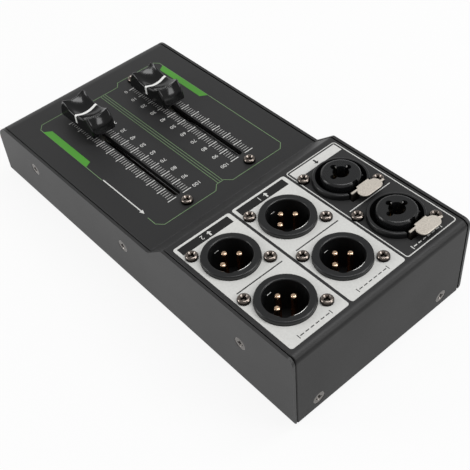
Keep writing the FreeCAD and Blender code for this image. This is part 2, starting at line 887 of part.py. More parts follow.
def combo_socket():
    """Housing of an input socket: rim, groove and the pockets of the latch."""
    socket = socket_base(combo_rim_height, combo_body_radius, combo_floor - socket_flange_thickness)
    socket = socket.fuse(rod(combo_lower_radius, 0, 0, board_top, combo_floor))
    socket = socket.cut(rod(combo_groove_radius, 0, 0, combo_floor, combo_rim_height))
    socket = socket.cut(rod(combo_core_radius + combo_core_gap, 0, 0, board_top, combo_floor))
    socket = socket.cut(box(plate_left_x - pocket_gap, tail_right_x + pocket_gap,
                            plate_inner_y - 2 * pocket_gap, latch_pivot_y, flange_top, combo_rim_height))
    socket = socket.cut(box(blade_left_x - pocket_gap, tail_right_x + pocket_gap,
                            combo_groove_radius - 3 * pocket_gap, pocket_back,
                            -blade_depth - 2 * pocket_gap, flange_top))
    socket = socket.cut(box(web_left_x - pocket_gap, web_right_x + pocket_gap,
                            latch_pivot_y - barrel_radius - pocket_gap, socket_flange,
                            -latch_pivot_depth - barrel_radius - pocket_gap, flange_top))
    return socket.cut(latch_pin()).removeSplitter()


def contact_strip(angle, top, bottom, inner, outer, width):
    """Upright flat strip beside the jack bore."""
    strip = box(inner, outer, -width / 2, width / 2, bottom, top)
    strip.rotate(vec(0, 0, 0), vec(0, 0, 1), angle)
    return strip


def combo_insert():
    """Insert with the jack bore, three contact lobes and a keyway."""
    insert = rod(combo_insert_radius, 0, 0, combo_floor, combo_insert_height)
    rim = [e for e in insert.Edges if abs(e.CenterOfMass.z - combo_insert_height) < 1e-6]
    insert = insert.makeFillet(combo_insert_round, rim)
    x, y = around(combo_insert_radius + insert_rib_radius / 2, insert_rib_angle)
    insert = insert.fuse(rod(insert_rib_radius, x, y, combo_floor, insert_rib_height))
    insert = insert.fuse(rod(combo_core_radius, 0, 0, board_top, combo_floor))
    insert = insert.cut(rod(jack_bore_radius, 0, 0, board_top, combo_insert_height))
    for angle in pin_angles:
        x, y = around(pin_circle, angle)
        insert = insert.cut(rod(lobe_mouth_radius, x, y, lobe_floor, combo_insert_height))
        insert = insert.cut(rod(lobe_radius, x, y, lobe_floor, combo_insert_height - lobe_lip))
        x, y = around(clip_tail_circle, angle)
        insert = insert.cut(rod(clip_tail_radius, x, y, board_top, lobe_floor))
    half_key = insert_key_width / 2
    insert = insert.cut(box(-half_key, half_key, combo_insert_radius - insert_key_depth,
                            combo_insert_radius, combo_floor, combo_insert_height))
    for angle, top in zip(strip_angles, strip_tops):
        insert = insert.cut(contact_strip(angle, top, board_top, 0, strip_outer, strip_width))
    return insert.removeSplitter()


def combo_contacts():
    """Three clips for a male plug's pins and three strips for a jack plug."""
    contacts = []
    for angle in pin_angles:
        clip = rod(lobe_radius, pin_circle, 0, lobe_floor, combo_insert_height - clip_top)
        clip = clip.cut(rod(lobe_radius - clip_wall, pin_circle, 0, lobe_floor, combo_insert_height))
        clip = clip.cut(box(0, jack_bore_radius + clip_bore_gap, -lobe_radius, lobe_radius,
                            lobe_floor, combo_insert_height))
        clip = clip.fuse(rod(clip_tail_radius, clip_tail_circle, 0, board_bottom - tail_length,
                             lobe_floor + clip_top))
        contacts.append(turned(clip.removeSplitter(), vec(0, 0, 1), angle, vec(0, 0, 0)))
    for angle, top in zip(strip_angles, strip_tops):
        contacts.append(contact_strip(angle, top, board_bottom - tail_length, strip_inner, strip_outer,
                                      strip_width))
    return Part.makeCompound(contacts)


# Latch of an input socket

def latch_pin():
    """Hinge pin of the latch, seated in the housing on both sides."""
    reach = pocket_gap + latch_pin_seat
    return rod_along_x(latch_pin_radius, latch_pivot_y, -latch_pivot_depth, web_left_x - reach,
                       web_right_x + reach)


def plate_piece(x0, x1, y0, y1, corner):
    """Flat piece of the push plate with rounded corners and a rounded rim."""
    top = plate_underside + plate_thickness
    piece = box(x0, x1, y0, y1, plate_underside, top)
    piece = piece.makeFillet(corner, [e for e in piece.Edges if e.BoundBox.ZLength > plate_thickness / 2])
    rim = [e for e in piece.Edges if abs(e.BoundBox.ZMin - top) < 1e-6]
    return piece.makeFillet(plate_edge_round, rim)


def push_plate():
    """Pad that a finger presses, with a straight lead, a prong and room for the screw."""
    lead_y = plate_inner_y + strip_lead
    prong_y = plate_inner_y + prong_place
    plate = plate_piece(plate_left_x, plate_right_x, lead_y, plate_outer_y, plate_corner)
    plate = plate.fuse(plate_piece(strip_left_x, strip_right_x, plate_inner_y, lead_y + plate_corner,
                                   plate_edge_round))
    plate = plate.fuse(plate_piece(plate_left_x - prong_reach, plate_left_x + plate_corner,
                                   prong_y - prong_width / 2, prong_y + prong_width / 2, plate_edge_round))
    clear = head_radius + plate_screw_gap
    return plate.cut(rod(clear, -socket_screw_x, socket_screw_y, 0, 2 * combo_rim_height))


def input_latch():
    """Push plate with its hinge barrel and the blade whose hook holds a plug."""
    top = plate_underside + plate_thickness
    latch = push_plate()
    latch = latch.fuse(box(blade_left_x, tail_right_x, blade_y, blade_y + tail_width, -blade_depth, top))
    hook = [vec(blade_left_x, blade_y, -blade_depth),
            vec(blade_left_x, blade_y - hook_reach, -blade_depth),
            vec(blade_left_x, blade_y, -blade_depth + hook_height)]
    wedge = Part.Face(Part.makePolygon(hook + hook[:1]))
    latch = latch.fuse(wedge.extrude(vec(tail_right_x - blade_left_x, 0, 0)))
    latch = latch.fuse(box(web_left_x, web_right_x, latch_pivot_y - web_thickness / 2,
                           latch_pivot_y + web_thickness / 2, -latch_pivot_depth, plate_underside))
    latch = latch.fuse(rod_along_x(barrel_radius, latch_pivot_y, -latch_pivot_depth, web_left_x,
                                   web_right_x))
    latch = latch.cut(rod_along_x(latch_pin_radius + latch_pin_fit, latch_pivot_y, -latch_pivot_depth,
                                  web_left_x, web_right_x))
    return latch.removeSplitter()


def latch_spring():
    """Small leaf, bent like a V, between the blade and the back of its pocket."""
    front = blade_y + tail_width + latch_spring_wall
    back = pocket_back - latch_spring_wall / 2
    low = -blade_depth + latch_pin_fit
    path = [(front, low + latch_spring_height), (back, low + latch_spring_height / 2), (front, low)]
    middle = (blade_left_x + tail_right_x) / 2
    return bent_sheet(path, [2 * latch_spring_wall], latch_spring_wall,
                      middle - latch_spring_width / 2, middle + latch_spring_width / 2)


# Boards and cable

def fader_board():
    """Board under both faders that their terminals are soldered into."""
    board = box(-fader_board_half_width, fader_board_half_width, fader_board_start, fader_board_end,
                -fader_board_depth - board_thickness, -fader_board_depth)
    for side in (-1, 1):
        for y in (-terminal_y, terminal_y):
            for x in (-terminal_pitch, 0, terminal_pitch):
                board = board.cut(rod(terminal_radius + board_hole_gap, side * fader_x + x,
                                      fader_centre + y, -fader_board_depth - 2 * board_thickness, 0))
    return board


def socket_board():
    """Board under the sockets that all their contacts are soldered into."""
    board = box(-socket_board_half_width, socket_board_half_width, socket_board_start, socket_board_end,
                board_bottom, board_top)
    for i, x in enumerate(column_places):
        for run in row_places:
            for angle in pin_angles:
                circle = clip_tail_circle if i == 0 else pin_circle
                radius = clip_tail_radius if i == 0 else pin_tail_radius
                pin_x, pin_y = around(circle, angle)
                board = board.cut(rod(radius + board_hole_gap, x + pin_x, run + pin_y,
                                      board_bottom, board_top))
            if i == 0:
                for angle in strip_angles:
                    slot = contact_strip(angle, board_top, board_bottom, strip_inner - board_hole_gap,
                                         strip_outer + board_hole_gap, strip_width + 2 * board_hole_gap)
                    slot.translate(vec(x, run, 0))
                    board = board.cut(slot)
    return board


def plug_block(board_z):
    return box(-plug_length_x / 2, plug_length_x / 2, -plug_width / 2, plug_width / 2, board_z,
               board_z + plug_height)


def panel_point(corner_y, corner_z, run, height):
    """Place in the case of a point given along and above a panel."""
    slope = math.radians(panel_slope)
    y = corner_y + run * math.cos(slope) - height * math.sin(slope)
    z = corner_z + run * math.sin(slope) + height * math.cos(slope)
    return y, z


def ribbon_cable():
    """Flat cable from the fader board down to the socket board."""
    rise = cable_height + cable_thickness / 2
    start = panel_point(-half_length, front_top_z, front_plug_place + plug_width / 2 + contact_gap,
                        rise - fader_board_depth)
    end = panel_point(crest_y, crest_z, rear_plug_place - plug_width / 2 - contact_gap,
                      rise - board_depth)
    run = 1.6 * cable_bend
    path = [start, (start[0] + run, start[1]), (end[0] - run, end[1]), end]
    return bent_sheet(path, [cable_bend, cable_bend], cable_thickness, -cable_width / 2, cable_width / 2)


# Whole controller

def save_fader(name, x, rest):
    """All nodes of one fader, with its moving pieces at their place in the photograph's pose."""
    fixed = {"frame": fader_frame(), "rails": fader_rails(), "track": fader_track(),
             "terminals": fader_terminals()}
    moving = {"carriage": fader_carriage(), "lever": fader_lever(), "wiper": fader_wiper(),
              "knob": fader_knob(), "index_line": fader_index()}
    for piece, shape in fixed.items():
        save(name + "_fader_" + piece, on_fader_panel(shape, x, fader_centre))
    for piece, shape in moving.items():
        save(name + "_fader_" + piece, on_fader_panel(shape, x, fader_centre + rest))


def save_output_socket(name, x, run):
    save(name + "_output_socket", on_socket_panel(male_socket(), x, run))
    save(name + "_output_pins", on_socket_panel(male_pins(), x, run))


def save_input_socket(name, x, run):
    pieces = {"socket": combo_socket(), "insert": combo_insert(), "contacts": combo_contacts(),
              "latch": input_latch(), "latch_pin": latch_pin(), "latch_spring": latch_spring()}
    for piece, shape in pieces.items():
        save(name + "_input_" + piece, on_socket_panel(shape, x, run))


os.makedirs("parts", exist_ok=True)
save("bottom_tray", bottom_tray())
save("top_cover", top_cover())
save("rubber_feet", rubber_feet())
save("side_screws", side_screws())
save("end_screws", end_screws())
save("fader_screws", fader_screws())
save("socket_screws", socket_screws())
save_fader("right", fader_x, right_fader_rest)
save_fader("left", -fader_x, left_fader_rest)
for row_name, row in zip(("front", "rear"), row_places):
    save_input_socket(row_name, column_places[0], row)
    for column_name, column in zip(("middle", "right"), column_places[1:]):
        save_output_socket(column_name + "_" + row_name, column, row)
save("fader_board", on_fader_panel(fader_board(), 0, 0))
save("socket_board", on_socket_panel(socket_board(), 0, 0))
save("fader_board_plug", on_fader_panel(plug_block(-fader_board_depth), 0, front_plug_place))
save("socket_board_plug", on_socket_panel(plug_block(-board_depth), 0, rear_plug_place))
save("ribbon_cable", ribbon_cable())
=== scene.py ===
"""Looks of a passive volume controller: case, printing, faders, sockets, boards and studio."""

import logging
import math
from dataclasses import dataclass, replace
from enum import Enum
from functools import cache, partial, reduce
from typing import Iterable, Sequence

import bmesh
import bpy
from mathutils import Matrix, Vector


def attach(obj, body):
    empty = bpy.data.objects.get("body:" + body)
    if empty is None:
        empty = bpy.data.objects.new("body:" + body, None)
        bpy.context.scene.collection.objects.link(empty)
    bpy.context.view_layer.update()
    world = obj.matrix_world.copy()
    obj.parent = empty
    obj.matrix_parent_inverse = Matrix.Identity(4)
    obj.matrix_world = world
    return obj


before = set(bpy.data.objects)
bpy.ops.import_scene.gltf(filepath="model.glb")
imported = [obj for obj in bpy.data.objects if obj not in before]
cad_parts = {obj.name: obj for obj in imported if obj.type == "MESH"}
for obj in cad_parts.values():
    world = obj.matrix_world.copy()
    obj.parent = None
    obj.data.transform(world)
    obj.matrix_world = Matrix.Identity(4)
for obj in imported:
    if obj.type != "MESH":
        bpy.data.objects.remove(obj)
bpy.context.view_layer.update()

LOG = logging.getLogger("volume_controller")
MM = 0.001
CHASSIS = "chassis"
# Height of a digit for a text size of 1
DIGIT_SHARE = 0.73
# Strength of the relief of every grain and streak
RELIEF = 0.6
# Share of a printed film's thickness by which its middle stands above the panel
FILM_RISE = 0.2
# Thickness of the printed film in mm
FILM = 0.05
# Least cosine that a printed line's corner is drawn out by
SHARPEST = 0.2
# Rays that look for edges, which get a lighter colour that is partly wear and partly painted
# highlight, and for corners, which get painted shade
RAYS = 4

Point = tuple[float, float]
Loop = list[Point]
Colour = tuple[float, float, float]
Tree = bpy.types.ShaderNodeTree
Socket = bpy.types.NodeSocket


# Choices and places


class Slot(Enum):
    """Material slots of the record; no piece in this script takes its finish from them."""

    COVER = "cover_paint"
    WHITE = "index_white"
    CONTACT = "contact"


class Align(Enum):
    """Side of its place at which a printed number starts."""

    LEFT = "LEFT"
    RIGHT = "RIGHT"


class Row(Enum):
    """Rows of sockets, with the run of their middles on the socket panel in mm."""

    FRONT = 20.65
    REAR = 48.85


@dataclass(frozen=True)
class Column:
    """A column of sockets and the printed field round it, in mm across the panel.

    Args:
        name: word that its pieces are named with.
        x: middle of the sockets.
        left: left edge of the field.
        right: right edge of the field.
        number: number on its label bar, if it has one.
    """

    name: str
    x: float
    left: float
    right: float
    number: str = ""


INPUTS = Column("input", -27.6, -41.8, -15.4)
OUTPUTS = (Column("middle", 0.5, -14.1, 13.0, "1"), Column("right", 28.6, 14.2, 41.5, "2"))


@dataclass(frozen=True)
class Panel:
    """A sloped panel of the case; places on it are across, run along it and height, in mm.

    Args:
        corner_y: where the panel's front edge is along the case.
        corner_z: how high that edge is.
        slope_degrees: how much the panel rises towards the sockets.
    """

    corner_y: float
    corner_z: float
    slope_degrees: float = 0.75

    def matrix(self) -> Matrix:
        """Matrix from millimetres on the panel to metres in the shared frame."""
        turn = Matrix.Rotation(math.radians(self.slope_degrees), 4, "X")
        place = Matrix.Translation(Vector((0.0, self.corner_y, self.corner_z)) * MM)
        return place @ turn @ Matrix.Scale(MM, 4)

    def level(self, height: float) -> tuple[Vector, float]:
        """Plane that runs along the panel at a height above it.

        Args:
            height: the height in mm.

        Returns:
            The plane's upward direction, and how far it is from the origin in metres.
        """
        turned = self.matrix()
        up = (turned.to_3x3() @ Vector((0.0, 0.0, 1.0))).normalized()
        return up, up.dot(turned @ Vector((0.0, 0.0, height)))


FADER_PANEL = Panel(corner_y=-94.3, corner_z=29.3)
SOCKET_PANEL = Panel(corner_y=25.0, corner_z=38.74)


# Outlines


def circle(x: float, y: float, radius: float, steps: int = 72) -> Loop:
    """Closed round outline.

    Args:
        x: centre across the panel.
        y: centre along the panel.
        radius: radius in mm.
        steps: corners of the outline.

    Returns:
        The outline's points.
    """
    turns = (2.0 * math.pi * i / steps for i in range(steps))
    return [(x + radius * math.cos(a), y + radius * math.sin(a)) for a in turns]


def rounded_box(x0: float, x1: float, y0: float, y1: float, radius: float) -> Loop:
    """Closed rectangle with rounded corners.

    Args:
        x0: left side.
        x1: right side.
        y0: front side.
        y1: rear side.
        radius: corner radius in mm.

    Returns:
        The outline's points.
    """
    corners = (
        (x1 - radius, y1 - radius, 0), (x0 + radius, y1 - radius, 1), (x0 + radius, y0 + radius, 2),
        (x1 - radius, y0 + radius, 3)
    )
    steps = 6
    loop: Loop = []
    for cx, cy, quarter in corners:
        for i in range(steps + 1):
            a = math.pi / 2 * (quarter + i / steps)
            loop.append((cx + radius * math.cos(a), cy + radius * math.sin(a)))
    return loop


def beside(points: Sequence[Point], distance: float, closed: bool) -> Loop:
    """Line that keeps a distance from another, with sharp corners.

    Args:
        points: the line's points.
        distance: how far to the left of the line the new one runs.
        closed: whether the line comes back to its start.

    Returns:
        The new line's points.
    """
    result: Loop = []
    count = len(points)
    for i, (x, y) in enumerate(points):
        before = points[i - 1] if closed or i > 0 else None
        after = points[(i + 1) % count] if closed or i < count - 1 else None
        normals: list[Vector] = []
        for start, end in ((before, (x, y)), ((x, y), after)):
            if start is None or end is None:
                continue
            run = Vector((end[0] - start[0], end[1] - start[1])).normalized()
            normals.append(Vector((-run.y, run.x)))
        if len(normals) == 2:
            middle = (normals[0] + normals[1]).normalized()
            shift = middle * (distance / max(SHARPEST, middle.dot(normals[0])))
        else:
            shift = normals[0] * distance
        result.append((x + shift.x, y + shift.y))
    return result


def ribbon(points: Sequence[Point], width: float, closed: bool = False) -> list[Loop]:
    """Printed line of even width.

    Args:
        points: the middle of the line.
        width: its width in mm.
        closed: whether it comes back to its start.

    Returns:
        One outline, or two for a closed line.
    """
    left = beside(points, width / 2, closed)
    right = beside(points, -width / 2, closed)
    return [left, right] if closed else [left + right[::-1]]


def bar(x0: float, x1: float, y: float, width: float) -> Loop:
    """Straight printed stroke across the panel.

    Args:
        x0: left end.
        x1: right end.
        y: middle of the stroke along the panel.
        width: its width in mm.

    Returns:
        The outline's points.
    """
    return [(x0, y - width / 2), (x1, y - width / 2), (x1, y + width / 2), (x0, y + width / 2)]


def dashes(x: float, y: float, length: float) -> list[Loop]:
    """Plain dashed line across the panel between two end bars.

    Args:
        x: middle of the line across the panel.
        y: middle of the line along the panel.
        length: its length in mm.

    Returns:
        One outline for each dash and end bar.
    """
    count, gap, width = 6, 0.75, 0.42
    end_across, end_along, end_corner = 0.18, 0.95, 0.05
    first, last = x - length / 2, x + length / 2
    loops = [
        rounded_box(end - end_across, end + end_across, y - end_along, y + end_along, end_corner)
        for end in (first, last)
    ]
    pitch = (length - gap) / count
    for i in range(count):
        start = first + gap + pitch * i
        loops.append(bar(start, start + pitch - gap, y, width))
    return loops


def arrow(x: float, tail: float, point: float, shaft: float, head: Point) -> Loop:
    """Plain arrow along the panel.

    Args:
        x: its middle across the panel.
        tail: run of its tail.
        point: run of its point.
        shaft: half the width of its shaft in mm.
        head: half the width and the length of its head in mm.

    Returns:
        The outline's points.
    """
    reach, length = head
    neck = point - math.copysign(length, point - tail)
    return [
        (x - shaft, tail), (x + shaft, tail), (x + shaft, neck), (x + reach, neck), (x, point),
        (x - reach, neck), (x - shaft, neck)
    ]


# Mesh making


def object_from(mesh: bpy.types.Mesh, name: str) -> bpy.types.Object:
    """Object of a finished mesh, linked to the scene under its name."""
    mesh.name = name
    made = bpy.data.objects.new(name, mesh)
    bpy.context.scene.collection.objects.link(made)
    return made


def mesh_of_curve(curve: bpy.types.Curve) -> bpy.types.Mesh:
    """Mesh of a filled flat curve, with the curve taken away again.

    Args:
        curve: the flat curve.

    Returns:
        A new mesh of it.
    """
    holder = bpy.data.objects.new("holder", curve)
    bpy.context.scene.collection.objects.link(holder)
    bpy.context.view_layer.update()
    graph = bpy.context.evaluated_depsgraph_get()
    mesh = bpy.data.meshes.new_from_object(holder.evaluated_get(graph))
    bpy.data.objects.remove(holder)
    bpy.data.curves.remove(curve)
    return mesh


def filled(loops: Iterable[Loop]) -> bpy.types.Mesh:
    """Printed film with the given outlines; an outline inside another is a hole in it.

    Args:
        loops: closed outlines in mm.

    Returns:
        The film's mesh, with its middle at height 0.
    """
    curve = bpy.data.curves.new("outline", "CURVE")
    curve.dimensions = "2D"
    curve.fill_mode = "BOTH"
    curve.extrude = FILM / 2
    for loop in loops:
        spline = curve.splines.new("POLY")
        spline.points.add(len(loop) - 1)
        for point, (x, y) in zip(spline.points, loop):
            point.co = (x, y, 0.0, 1.0)
        spline.use_cyclic_u = True
    return mesh_of_curve(curve)


def digits(text: str, height: float, align: Align) -> bpy.types.Mesh:
    """Printed film in the shape of a plain number.

    Args:
        text: the digits.
        height: height of a digit in mm.
        align: the side that the number starts from.

    Returns:
        The number's mesh, with its middle at height 0.
    """
    curve = bpy.data.curves.new("number", "FONT")
    curve.body = text
    curve.size = height / DIGIT_SHARE
    curve.align_x = align.value
    curve.extrude = FILM / 2
    curve.resolution_u = 3
    mesh = mesh_of_curve(curve)
    mesh.transform(Matrix.Translation((0.0, -height / 2, 0.0)))
    return mesh


# Shader groups


class Nodes:
    """Adds nodes to one tree."""

    def __init__(self, tree: Tree) -> None:
        """Work on a tree."""
        self.tree = tree

    def feed(self, entry: Socket, value: object) -> None:
        """Link a socket to an input, or set the input's value."""
        if isinstance(value, bpy.types.NodeSocket):
            self.tree.links.new(value, entry)
        else:
            entry.default_value = value

    def set(self, node: bpy.types.ShaderNode, **inputs: object) -> None:
        """Feed or set the inputs of a node, each named with _ for a space."""
        for name, value in inputs.items():
            self.feed(node.inputs[name.replace("_", " ")], value)

    def add(self, kind: str | Tree, **inputs: object) -> bpy.types.ShaderNode:
        """Add a node.

        Args:
            kind: Blender's name of the node, or the group that it shows.
            **inputs: a value or a socket for each input, named with _ for a space.

        Returns:
            The node.
        """
        plain = isinstance(kind, str)
        made = self.tree.nodes.new(kind if plain else "ShaderNodeGroup")
        if not plain:
            made.node_tree = kind
        self.set(made, **inputs)
        return made

    def maths(self, operation: str, *values: Socket | float) -> Socket:
        """Add a Math node.

        Args:
            operation: the node's operation.
            *values: its values or the sockets that feed it.

        Returns:
            The node's output.
        """
        made = self.tree.nodes.new("ShaderNodeMath")
        made.operation = operation
        for entry, value in zip(made.inputs, values):
            self.feed(entry, value)
        return made.outputs[0]


class GroupMaker(Nodes):
    """Builds one shader node group with named sockets."""

    KINDS: dict[int, str] = {1: "Float", 3: "Vector", 4: "Color"}

    def __init__(self, name: str, **defaults: float | tuple[float, ...]) -> None:
        """Start a group.

        Args:
            name: its name.
            **defaults: the default of each input, named with _ for a space. Three numbers make
                a vector and four a colour.
        """
        super().__init__(bpy.data.node_groups.new(name, "ShaderNodeTree"))
        for key, default in defaults.items():
            kind = self.KINDS[len(default) if isinstance(default, tuple) else 1]
            made = self.tree.interface.new_socket(
                name=key.replace("_", " "), in_out="INPUT", socket_type=f"NodeSocket{kind}"
            )
            made.default_value = default
        self.inputs = self.tree.nodes.new("NodeGroupInput").outputs
        self.outlet = self.tree.nodes.new("NodeGroupOutput")

    def gives(self, name: str, kind: str, source: Socket) -> None:
        """Add an output that is fed by a socket in the group.

        Args:
            name: its name.
            kind: Float, Color or Vector.
            source: the socket that feeds it.
        """
        self.tree.interface.new_socket(
            name=name, in_out="OUTPUT", socket_type=f"NodeSocket{kind}"
        )
        self.tree.links.new(source, self.outlet.inputs[name])

    def place(self) -> Socket:
        """Place on the object, in metres."""
        return self.add("ShaderNodeTexCoord").outputs["Object"]

    def vector(self, operation: str, first: Socket, second: Socket) -> Socket:
        """Add a Vector Math node.

        Args:
            operation: MULTIPLY, SCALE or DOT_PRODUCT.
            first: its first vector.
            second: its second vector, or the scale.

        Returns:
            The node's output.
        """
        made = self.tree.nodes.new("ShaderNodeVectorMath")
        made.operation = operation
        self.feed(made.inputs[0], first)
        self.feed(made.inputs["Scale" if operation == "SCALE" else 1], second)
        return made.outputs["Value" if operation == "DOT_PRODUCT" else "Vector"]

    def mix(self, share: Socket, low: Socket, high: Socket) -> Socket:
        """Mix two colours.

        Args:
            share: how much of the second one there is.
            low: the first colour.
            high: the second colour.

        Returns:
            The mixed colour.
        """
        made = self.add("ShaderNodeMix")
        made.data_type = "RGBA"
        for entry, value in ((0, share), (6, low), (7, high)):
            self.feed(made.inputs[entry], value)
        return made.outputs[2]

    def noise(self, place: Socket, scale: Socket | float, detail: float, rough: float) -> Socket:
        """Add noise.

        Args:
            place: where it is read.
            scale: its scale.
            detail: its detail.
            rough: its roughness.

        Returns:
            The noise, 0.5 on average.
        """
        return self.add(
            "ShaderNodeTexNoise", Vector=place, Scale=scale, Detail=detail, Roughness=rough
        ).outputs["Fac"]

    def surface(self, shade: Socket, swing: Socket, height: Socket) -> Tree:
        """Put out the Shade, Roughness and Height of a surface.

        Args:
            shade: the shade, 1 on average.
            swing: what sways the roughness, 0 on average.
            height: height as a share of the depth.

        Returns:
            The finished group.
        """
        spread, middle = self.inputs["Roughness Spread"], self.inputs["Roughness"]
        self.gives("Shade", "Float", shade)
        self.gives("Roughness", "Float", self.maths("MULTIPLY_ADD", swing, spread, middle))
        self.gives("Height", "Float", self.maths("MULTIPLY", height, self.inputs["Depth"]))
        return self.tree


@cache
def grain_group() -> Tree:
    """Group with the fine grain and the slow unevenness of a coated or moulded surface.

    Returns:
        The group. Its Shade is 1 on average, and its Height is in metres.
    """
    group = GroupMaker(
        "surface_grain", Grain_Size=0.0004, Grain_Contrast=0.1, Cloud_Size=0.03, Cloud_Contrast=0.1,
        Roughness=0.4, Roughness_Spread=0.1, Depth=0.00001
    )
    place = group.place()
    fine = group.noise(place, group.maths("DIVIDE", 1.0, group.inputs["Grain Size"]), 2.0, 0.6)
    slow = group.noise(place, group.maths("DIVIDE", 1.0, group.inputs["Cloud Size"]), 3.0, 0.5)
    fine_swing = group.maths("SUBTRACT", fine, 0.5)
    slow_swing = group.maths("SUBTRACT", slow, 0.5)
    shade = group.maths("MULTIPLY_ADD", fine_swing, group.inputs["Grain Contrast"], 1.0)
    shade = group.maths("MULTIPLY_ADD", slow_swing, group.inputs["Cloud Contrast"], shade)
    return group.surface(shade, group.maths("ADD", fine_swing, slow_swing), fine)


@cache
def streak_group() -> Tree:
    """Group with the fine lines that rolling, turning or brushing leaves in metal.

    Returns:
        The group, with a Shade of 1 on average, a Roughness and a Height in metres.
    """
    group = GroupMaker(
        "metal_streaks", Stretch=(400.0, 4000.0, 4000.0), Contrast=0.2, Roughness=0.25,
        Roughness_Spread=0.15, Depth=0.000004
    )
    drawn = group.vector("MULTIPLY", group.place(), group.inputs["Stretch"])
    line = group.noise(drawn, 1.0, 3.0, 0.6)
    swing = group.maths("SUBTRACT", line, 0.5)
    shade = group.maths("MULTIPLY_ADD", swing, group.inputs["Contrast"], 1.0)
    return group.surface(shade, swing, line)


@cache
def edge_tone_and_corner_shade_group() -> Tree:
    """Group that lightens edges, as wear and as painted highlight, and darkens deep corners of a
    shaded colour with painted shade.

    Returns:
        The group, which puts out the colour.
    """
    group = GroupMaker(
        "edge_and_corner_tint", Colour=(0.1, 0.1, 0.1, 1.0), Shade=1.0,
        Edge_Colour=(0.3, 0.3, 0.3, 1.0), Edge_Width=0.0003, Edge_Amount=0.3, Corner_Reach=0.0015,
        Corner_Amount=0.5
    )
    shaded = group.vector("SCALE", group.inputs["Colour"], group.inputs["Shade"])
    # Lighter edge colour: partly wear, partly a painted highlight along glossy plastic and metal
    # edges.
    bevel = group.add("ShaderNodeBevel", Radius=group.inputs["Edge Width"])
    bevel.samples = RAYS
    straight = group.add("ShaderNodeNewGeometry").outputs["Normal"]
    facing = group.vector("DOT_PRODUCT", bevel.outputs["Normal"], straight)
    edge = group.add(
        "ShaderNodeMapRange", Value=group.maths("SUBTRACT", 1.0, facing), From_Min=0.02,
        From_Max=0.25, To_Max=group.inputs["Edge Amount"]
    )
    edge_lightened = group.mix(edge.outputs["Result"], shaded, group.inputs["Edge Colour"])
    # Painted shade: ambient occlusion darkens corners, recesses and gaps where shade falls.
    corner = group.add("ShaderNodeAmbientOcclusion", Distance=group.inputs["Corner Reach"])
    corner.samples = RAYS
    dark = group.maths("SUBTRACT", 1.0, corner.outputs["AO"])
    lost = group.maths("MULTIPLY", dark, group.inputs["Corner Amount"])
    kept = group.maths("SUBTRACT", 1.0, lost)
    group.gives("Colour", "Color", group.vector("SCALE", edge_lightened, kept))
    return group.tree


@cache
def shade_under_plane_group() -> Tree:
    """Group that paints shade below a plane by darkening a colour there.

    Returns:
        The group, which puts out the colour.
    """
    # Low Colour is the colour of the painted shade.
    group = GroupMaker(
        "dark_below_plane", Colour=(0.5, 0.5, 0.5, 1.0), Low_Colour=(0.01, 0.01, 0.01, 1.0),
        Up=(0.0, 0.0, 1.0), Level=0.0, Rear_Level=0.0, Rear_Start=0.0, Fade=0.0003
    )
    inputs = group.inputs
    place = group.place()
    along = group.add("ShaderNodeSeparateXYZ", Vector=place).outputs["Y"]
    behind = group.maths("GREATER_THAN", along, inputs["Rear Start"])
    step = group.maths("SUBTRACT", inputs["Rear Level"], inputs["Level"])
    level = group.maths("MULTIPLY_ADD", behind, step, inputs["Level"])
    rise = group.maths("SUBTRACT", group.vector("DOT_PRODUCT", place, inputs["Up"]), level)
    share = group.add("ShaderNodeClamp", Value=group.maths("DIVIDE", rise, inputs["Fade"]))
    mixed = group.mix(share.outputs["Result"], inputs["Low Colour"], inputs["Colour"])
    group.gives("Colour", "Color", mixed)
    return group.tree


# Finishes


@dataclass(frozen=True)
class PaintedShadeBelow:
    """Painted shade: darker colour that a surface takes below a plane that runs along its panel.

    Args:
        colour: the colour of the painted shade in linear light.
        height: height above the panel at which it is reached, in mm.
        fade: height over which the surface turns to it, in metres.
        panel: the panel that counts in front of the socket panel, which counts from there on.
    """

    colour: Colour
    height: float
    fade: float
    panel: Panel = SOCKET_PANEL


